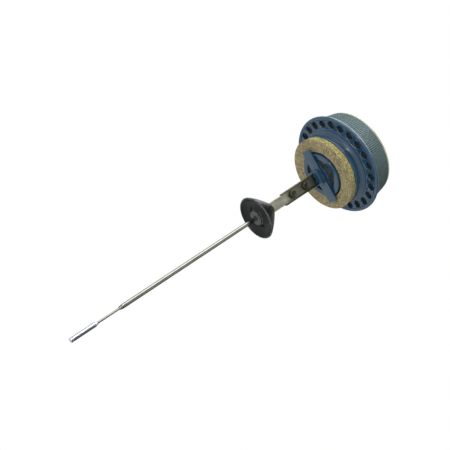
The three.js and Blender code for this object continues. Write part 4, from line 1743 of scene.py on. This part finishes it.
# %% Slotted hub screws
def build_hub_screw():
    """A pan-head screw with a slot, standing on the axis at its real height."""
    screw = size_of("hub_screw_1")
    head_bottom = 12.1
    corners = [
        (0, screw.bottom),
        (1.3, screw.bottom, 0.3),
        (1.3, head_bottom),
        (screw.radius, head_bottom, 0.2),
        (screw.radius, screw.top, 0.9),
        (0, screw.top),
    ]
    body = turned("hub_screw", rounded(corners, 4), 32)
    slot = plate("driver_slot", rectangle(-3, 3, -0.35, 0.35), screw.top - 0.8, screw.top + 1)
    return cut_with(body, slot)


hub_screws = copies_round("hub_screws", build_hub_screw(), 3, 28, 0, passivated, math.pi / 2)
fit(hub_screws, "head", "passivated_steel", passivated, "hub_screw_1", "hub_screw_2", "hub_screw_3")

# %% [markdown]
# ## The movement
#
# Under the dial a brass plate hangs from three pillars and carries a flat coiled tube. As the bulb warms
# the coil unwinds and turns the pointer's arbor. The coil is a rule again, a spiral ribbon, and the
# pillars are copies round a circle.


# %% Movement plate, pillars and coil
arbor_hole = 1.55
above_plate = 27.8


def build_movement_plate():
    movement = size_of("movement_plate")
    corners = [
        (arbor_hole, movement.bottom, 0.1),
        (movement.radius, movement.bottom, 0.3),
        (movement.radius, movement.top, 0.3),
        (arbor_hole, movement.top, 0.1),
    ]
    body = turned("movement_base", rounded(corners, 3), 96)
    return cut_with(body, rod("anchor_hole", 1.9, 20, 30, 24, (anchor_circle, 0)))


def build_pillar():
    pillar = size_of("movement_pillar_1")
    corners = [
        (0, pillar.bottom),
        (1.1, pillar.bottom, 0.2),
        (1.1, above_plate),
        (2.2, above_plate, 0.3),
        (2.2, 33.0),
        (1.9, 33.3),
        (1.9, 35.7),
        (2.2, 36.0),
        (2.2, dial_seat, 0.3),
        (1.1, dial_seat),
        (1.1, pillar.top, 0.3),
        (0, pillar.top),
    ]
    return turned("pillar", rounded(corners, 3), 28)


def build_coil():
    """The flat coiled tube: a ribbon between two spirals, raised to its height."""
    coil = size_of("bourdon_coil")
    inner, outer, turns, ribbon = 4.0, 12.0, 3, 0.6
    steps = turns * 48
    outside = []
    inside = []
    for step in range(steps + 1):
        turn = math.tau * turns * step / steps
        radius = inner + (outer - inner) * step / steps
        heading = Vector((math.cos(turn), math.sin(turn)))
        outside.append(heading * (radius + ribbon))
        inside.append(heading * radius)
    return bevelled(plate("pressure_coil", outside + inside[::-1], coil.bottom, coil.top), 0.2, 2, 60)


def build_anchor():
    """The coil's fixing: a thin end through the plate and a thick body above it."""
    anchor = size_of("coil_anchor")
    corners = [
        (0, anchor.bottom),
        (1.6, anchor.bottom, 0.2),
        (1.6, above_plate),
        (anchor.radius, above_plate, 0.3),
        (anchor.radius, anchor.top, 0.5),
        (0, anchor.top),
    ]
    return turned("coil_fixing", rounded(corners, 3), 48, (anchor_circle, 0))


fit(build_movement_plate(), "head", "brass", brass, "movement_plate")
pillars = copies_round("movement_pillars", build_pillar(), 3, 20, 0, brass, math.pi / 2)
fit(pillars, "head", "brass", brass, "movement_pillar_1", "movement_pillar_2", "movement_pillar_3")
fit(build_coil(), "head", "brass", brass, "bourdon_coil")
fit(build_anchor(), "head", "brass", brass, "coil_anchor")


# %% Arbor and bush
def build_bush():
    bush = size_of("arbor_bush")
    corners = [
        (arbor_hole, bush.bottom, 0.1),
        (bush.radius, bush.bottom, 0.4),
        (bush.radius, dial_seat, 0.3),
        (2.6, dial_seat),
        (2.6, bush.top, 0.2),
        (arbor_hole, bush.top, 0.1),
    ]
    return turned("pointer_bush", rounded(corners, 3), 48)


def build_arbor():
    arbor = size_of("pointer_arbor")
    corners = [
        (0, arbor.bottom),
        (1.5, arbor.bottom, 0.4),
        (1.5, 29.0),
        (arbor.radius, 29.0, 0.3),
        (arbor.radius, 34.0, 0.3),
        (1.5, 34.0),
        (1.5, 42.8, 0.1),
        (1.0, 42.8),
        (1.0, arbor.top, 0.2),
        (0, arbor.top),
    ]
    return turned("pointer_spindle", rounded(corners, 3), 48)


fit(build_bush(), "head", "brass", brass, "arbor_bush")
fit(build_arbor(), "pointer", "stainless", stainless, "pointer_arbor")

# %% [markdown]
# ## The dial
#
# The face is a matt white plate with printed marks: a tick for each two degrees, longer ones for each
# ten, and plain numbers. The ticks are copies of two thin bars placed along the arc by Geometry Nodes.
# The numbers are text objects turned into meshes, laid flat and placed by their angle, from the lowest
# reading at the left to the highest at the right. The first and the last stand a little along the arc,
# clear of the two stop pins.

# %% Dial plate and scale values
dial = size_of("dial_plate")
scale_start, scale_end = -20, 60
sweep = math.radians(270)
print_height = 0.03


def scale_angle(reading):
    """The angle of a reading on the dial: mid scale is straight up, and readings rise clockwise."""
    share = (reading - scale_start) / (scale_end - scale_start)
    return math.pi / 2 + sweep / 2 - sweep * share


def build_dial():
    corners = [
        (2.9, dial.bottom, 0.1),
        (dial.radius, dial.bottom, 0.2),
        (dial.radius, dial.top, 0.2),
        (2.9, dial.top, 0.1),
    ]
    return turned("dial_face", rounded(corners, 3), 160)


fit(build_dial(), "head", "dial_white", dial_white, "dial_plate")


# %% Dial ticks
def build_arc_tree():
    """Copies of one bar along an arc: the first at a start angle, then one each step, clockwise."""
    sizes = dict.fromkeys(("Radius", "Start", "Step"), "Float")
    inputs = {"Bar": "Object", "Count": "Int", **sizes, "Finish": "Material"}
    tree, given = new_tree("ticks_on_an_arc", inputs)
    line = add_node(tree, "GeometryNodeMeshLine", {"Count": given["Count"]}).outputs[0]
    index = add_node(tree, "GeometryNodeInputIndex").outputs[0]
    turned_by = math_node(tree, "MULTIPLY", index, given["Step"])
    angle = math_node(tree, "SUBTRACT", given["Start"], turned_by)
    x = math_node(tree, "MULTIPLY", math_node(tree, "COSINE", angle), given["Radius"])
    y = math_node(tree, "MULTIPLY", math_node(tree, "SINE", angle), given["Radius"])
    moved = {"Geometry": line, "Position": vector(tree, x, y)}
    places = add_node(tree, "GeometryNodeSetPosition", moved).outputs[0]
    ticks = instances(tree, places, given["Bar"], Rotation=vector(tree, z=angle))
    end_tree(tree, ticks, given["Finish"])
    return tree


arc_tree = build_arc_tree()


def tick_marks(name, length, width, degrees_each):
    count = (scale_end - scale_start) // degrees_each + 1
    outer = 39.0
    outline = rectangle(-length, 0, -width / 2, width / 2)
    mark = plate(name + "_mark", outline, dial.top, dial.top + print_height)
    step = sweep * degrees_each / (scale_end - scale_start)
    values = {
        "Bar": mark,
        "Count": count,
        "Radius": outer * mm,
        "Start": scale_angle(scale_start),
        "Step": step,
        "Finish": dial_black,
    }
    print(f"{name}: {count} ticks")
    return grown(name, arc_tree, values)


fit(tick_marks("long_ticks", 5.0, 0.7, 10), "head", "dial_white", dial_black)
fit(tick_marks("short_ticks", 3.0, 0.35, 2), "head", "dial_white", dial_black)


# %% Dial numbers
def text_mesh(name, words, size, centre):
    """Flat text as a thin mesh, centred on a place on the dial."""
    data = bpy.data.curves.new(name, "FONT")
    data.body = words
    data.size = size * mm
    data.align_x = "CENTER"
    data.align_y = "CENTER"
    data.extrude = print_height / 2 * mm
    data.resolution_u = 4
    holder = add_object(name + "_text", data)
    piece = add_object(name, evaluated_mesh(holder))
    bpy.data.objects.remove(holder)
    middle = Vector((*centre, dial.top + print_height / 2))
    piece.data.transform(Matrix.Translation(middle * mm))
    return piece


def build_numbers():
    circle = 29.0
    clear_of_pins = {scale_start: -math.radians(8), scale_end: math.radians(8)}
    pieces = []
    for reading in range(scale_start, scale_end + 1, 10):
        angle = scale_angle(reading) + clear_of_pins.get(reading, 0)
        centre = (circle * math.cos(angle), circle * math.sin(angle))
        pieces.append(text_mesh("dial_number", str(reading), 6.2, centre))
    pieces.append(text_mesh("dial_unit", "°C", 7.0, (0, -17)))
    return joined("dial_numbers", pieces)


fit(build_numbers(), "head", "dial_white", dial_black)

# %% [markdown]
# The pointer is a thin red blade that tapers to a point, with a short counterweight tail and a brass cap
# over its hub. Two small brass pins stop it at the ends of the scale.


# %% Pointer, cap and stop pins
def build_pointer():
    blade = size_of("pointer")
    reach = blade.middle.y + blade.half.y
    tail = blade.middle.y - blade.half.y
    corners = [
        (-1.4, tail, 0.8),
        (1.4, tail, 0.8),
        (1.0, 0),
        (0.9, 20, 4),
        (0.05, reach),
        (-0.05, reach),
        (-0.9, 20, 4),
        (-1.0, 0),
    ]
    needle = bevelled(plate("needle", rounded(corners), blade.bottom, blade.top), 0.12, 2, 50)
    hub_outline = rounded(
        [
            (1.3, blade.bottom, 0.05),
            (blade.half.x, blade.bottom, 0.15),
            (blade.half.x, blade.top, 0.2),
            (1.3, blade.top, 0.05),
        ],
        3,
    )
    hub_disc = turned("pointer_hub", hub_outline, 48)
    bored = cut_with(needle, rod("hub_hole", 2.4, 0, 60, 32))
    return joined("pointer_needle", [bored, hub_disc])


def build_cap():
    cap = size_of("pointer_cap")
    corners = [
        (0, cap.bottom),
        (cap.half.x, cap.bottom, 0.15),
        (cap.half.x - 0.2, cap.top - 0.6, 0.5),
        (1.6, cap.top - 0.05, 0.7),
        (0, cap.top),
    ]
    return turned("pointer_button", rounded(corners, 5), 48)


def build_stop_pin(node):
    pin = size_of(node)
    pin_radius = 0.58
    corners = [
        (0, pin.bottom),
        (pin_radius, pin.bottom, 0.1),
        (pin_radius, pin.top, 0.35),
        (0, pin.top),
    ]
    return turned(node + "_pin", rounded(corners, 4), 24, (pin.middle.x, pin.middle.y))


fit(build_pointer(), "pointer", "pointer_red", pointer_red, "pointer")
fit(build_cap(), "pointer", "brass", brass, "pointer_cap")
for stop_node in ("stop_pin_low", "stop_pin_high"):
    fit(build_stop_pin(stop_node), "head", "brass", brass, stop_node)

# %% [markdown]
# ## Last sizes
#
# The looks must not outgrow the mechanical model, so the outer sizes of both are printed.

# %% Sizes and the end
visual_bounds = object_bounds()
for title, (low, high) in (("mechanical", cad_bounds), ("visual", visual_bounds)):
    print(title, [round(value / mm, 2) for value in (*low, *high)])
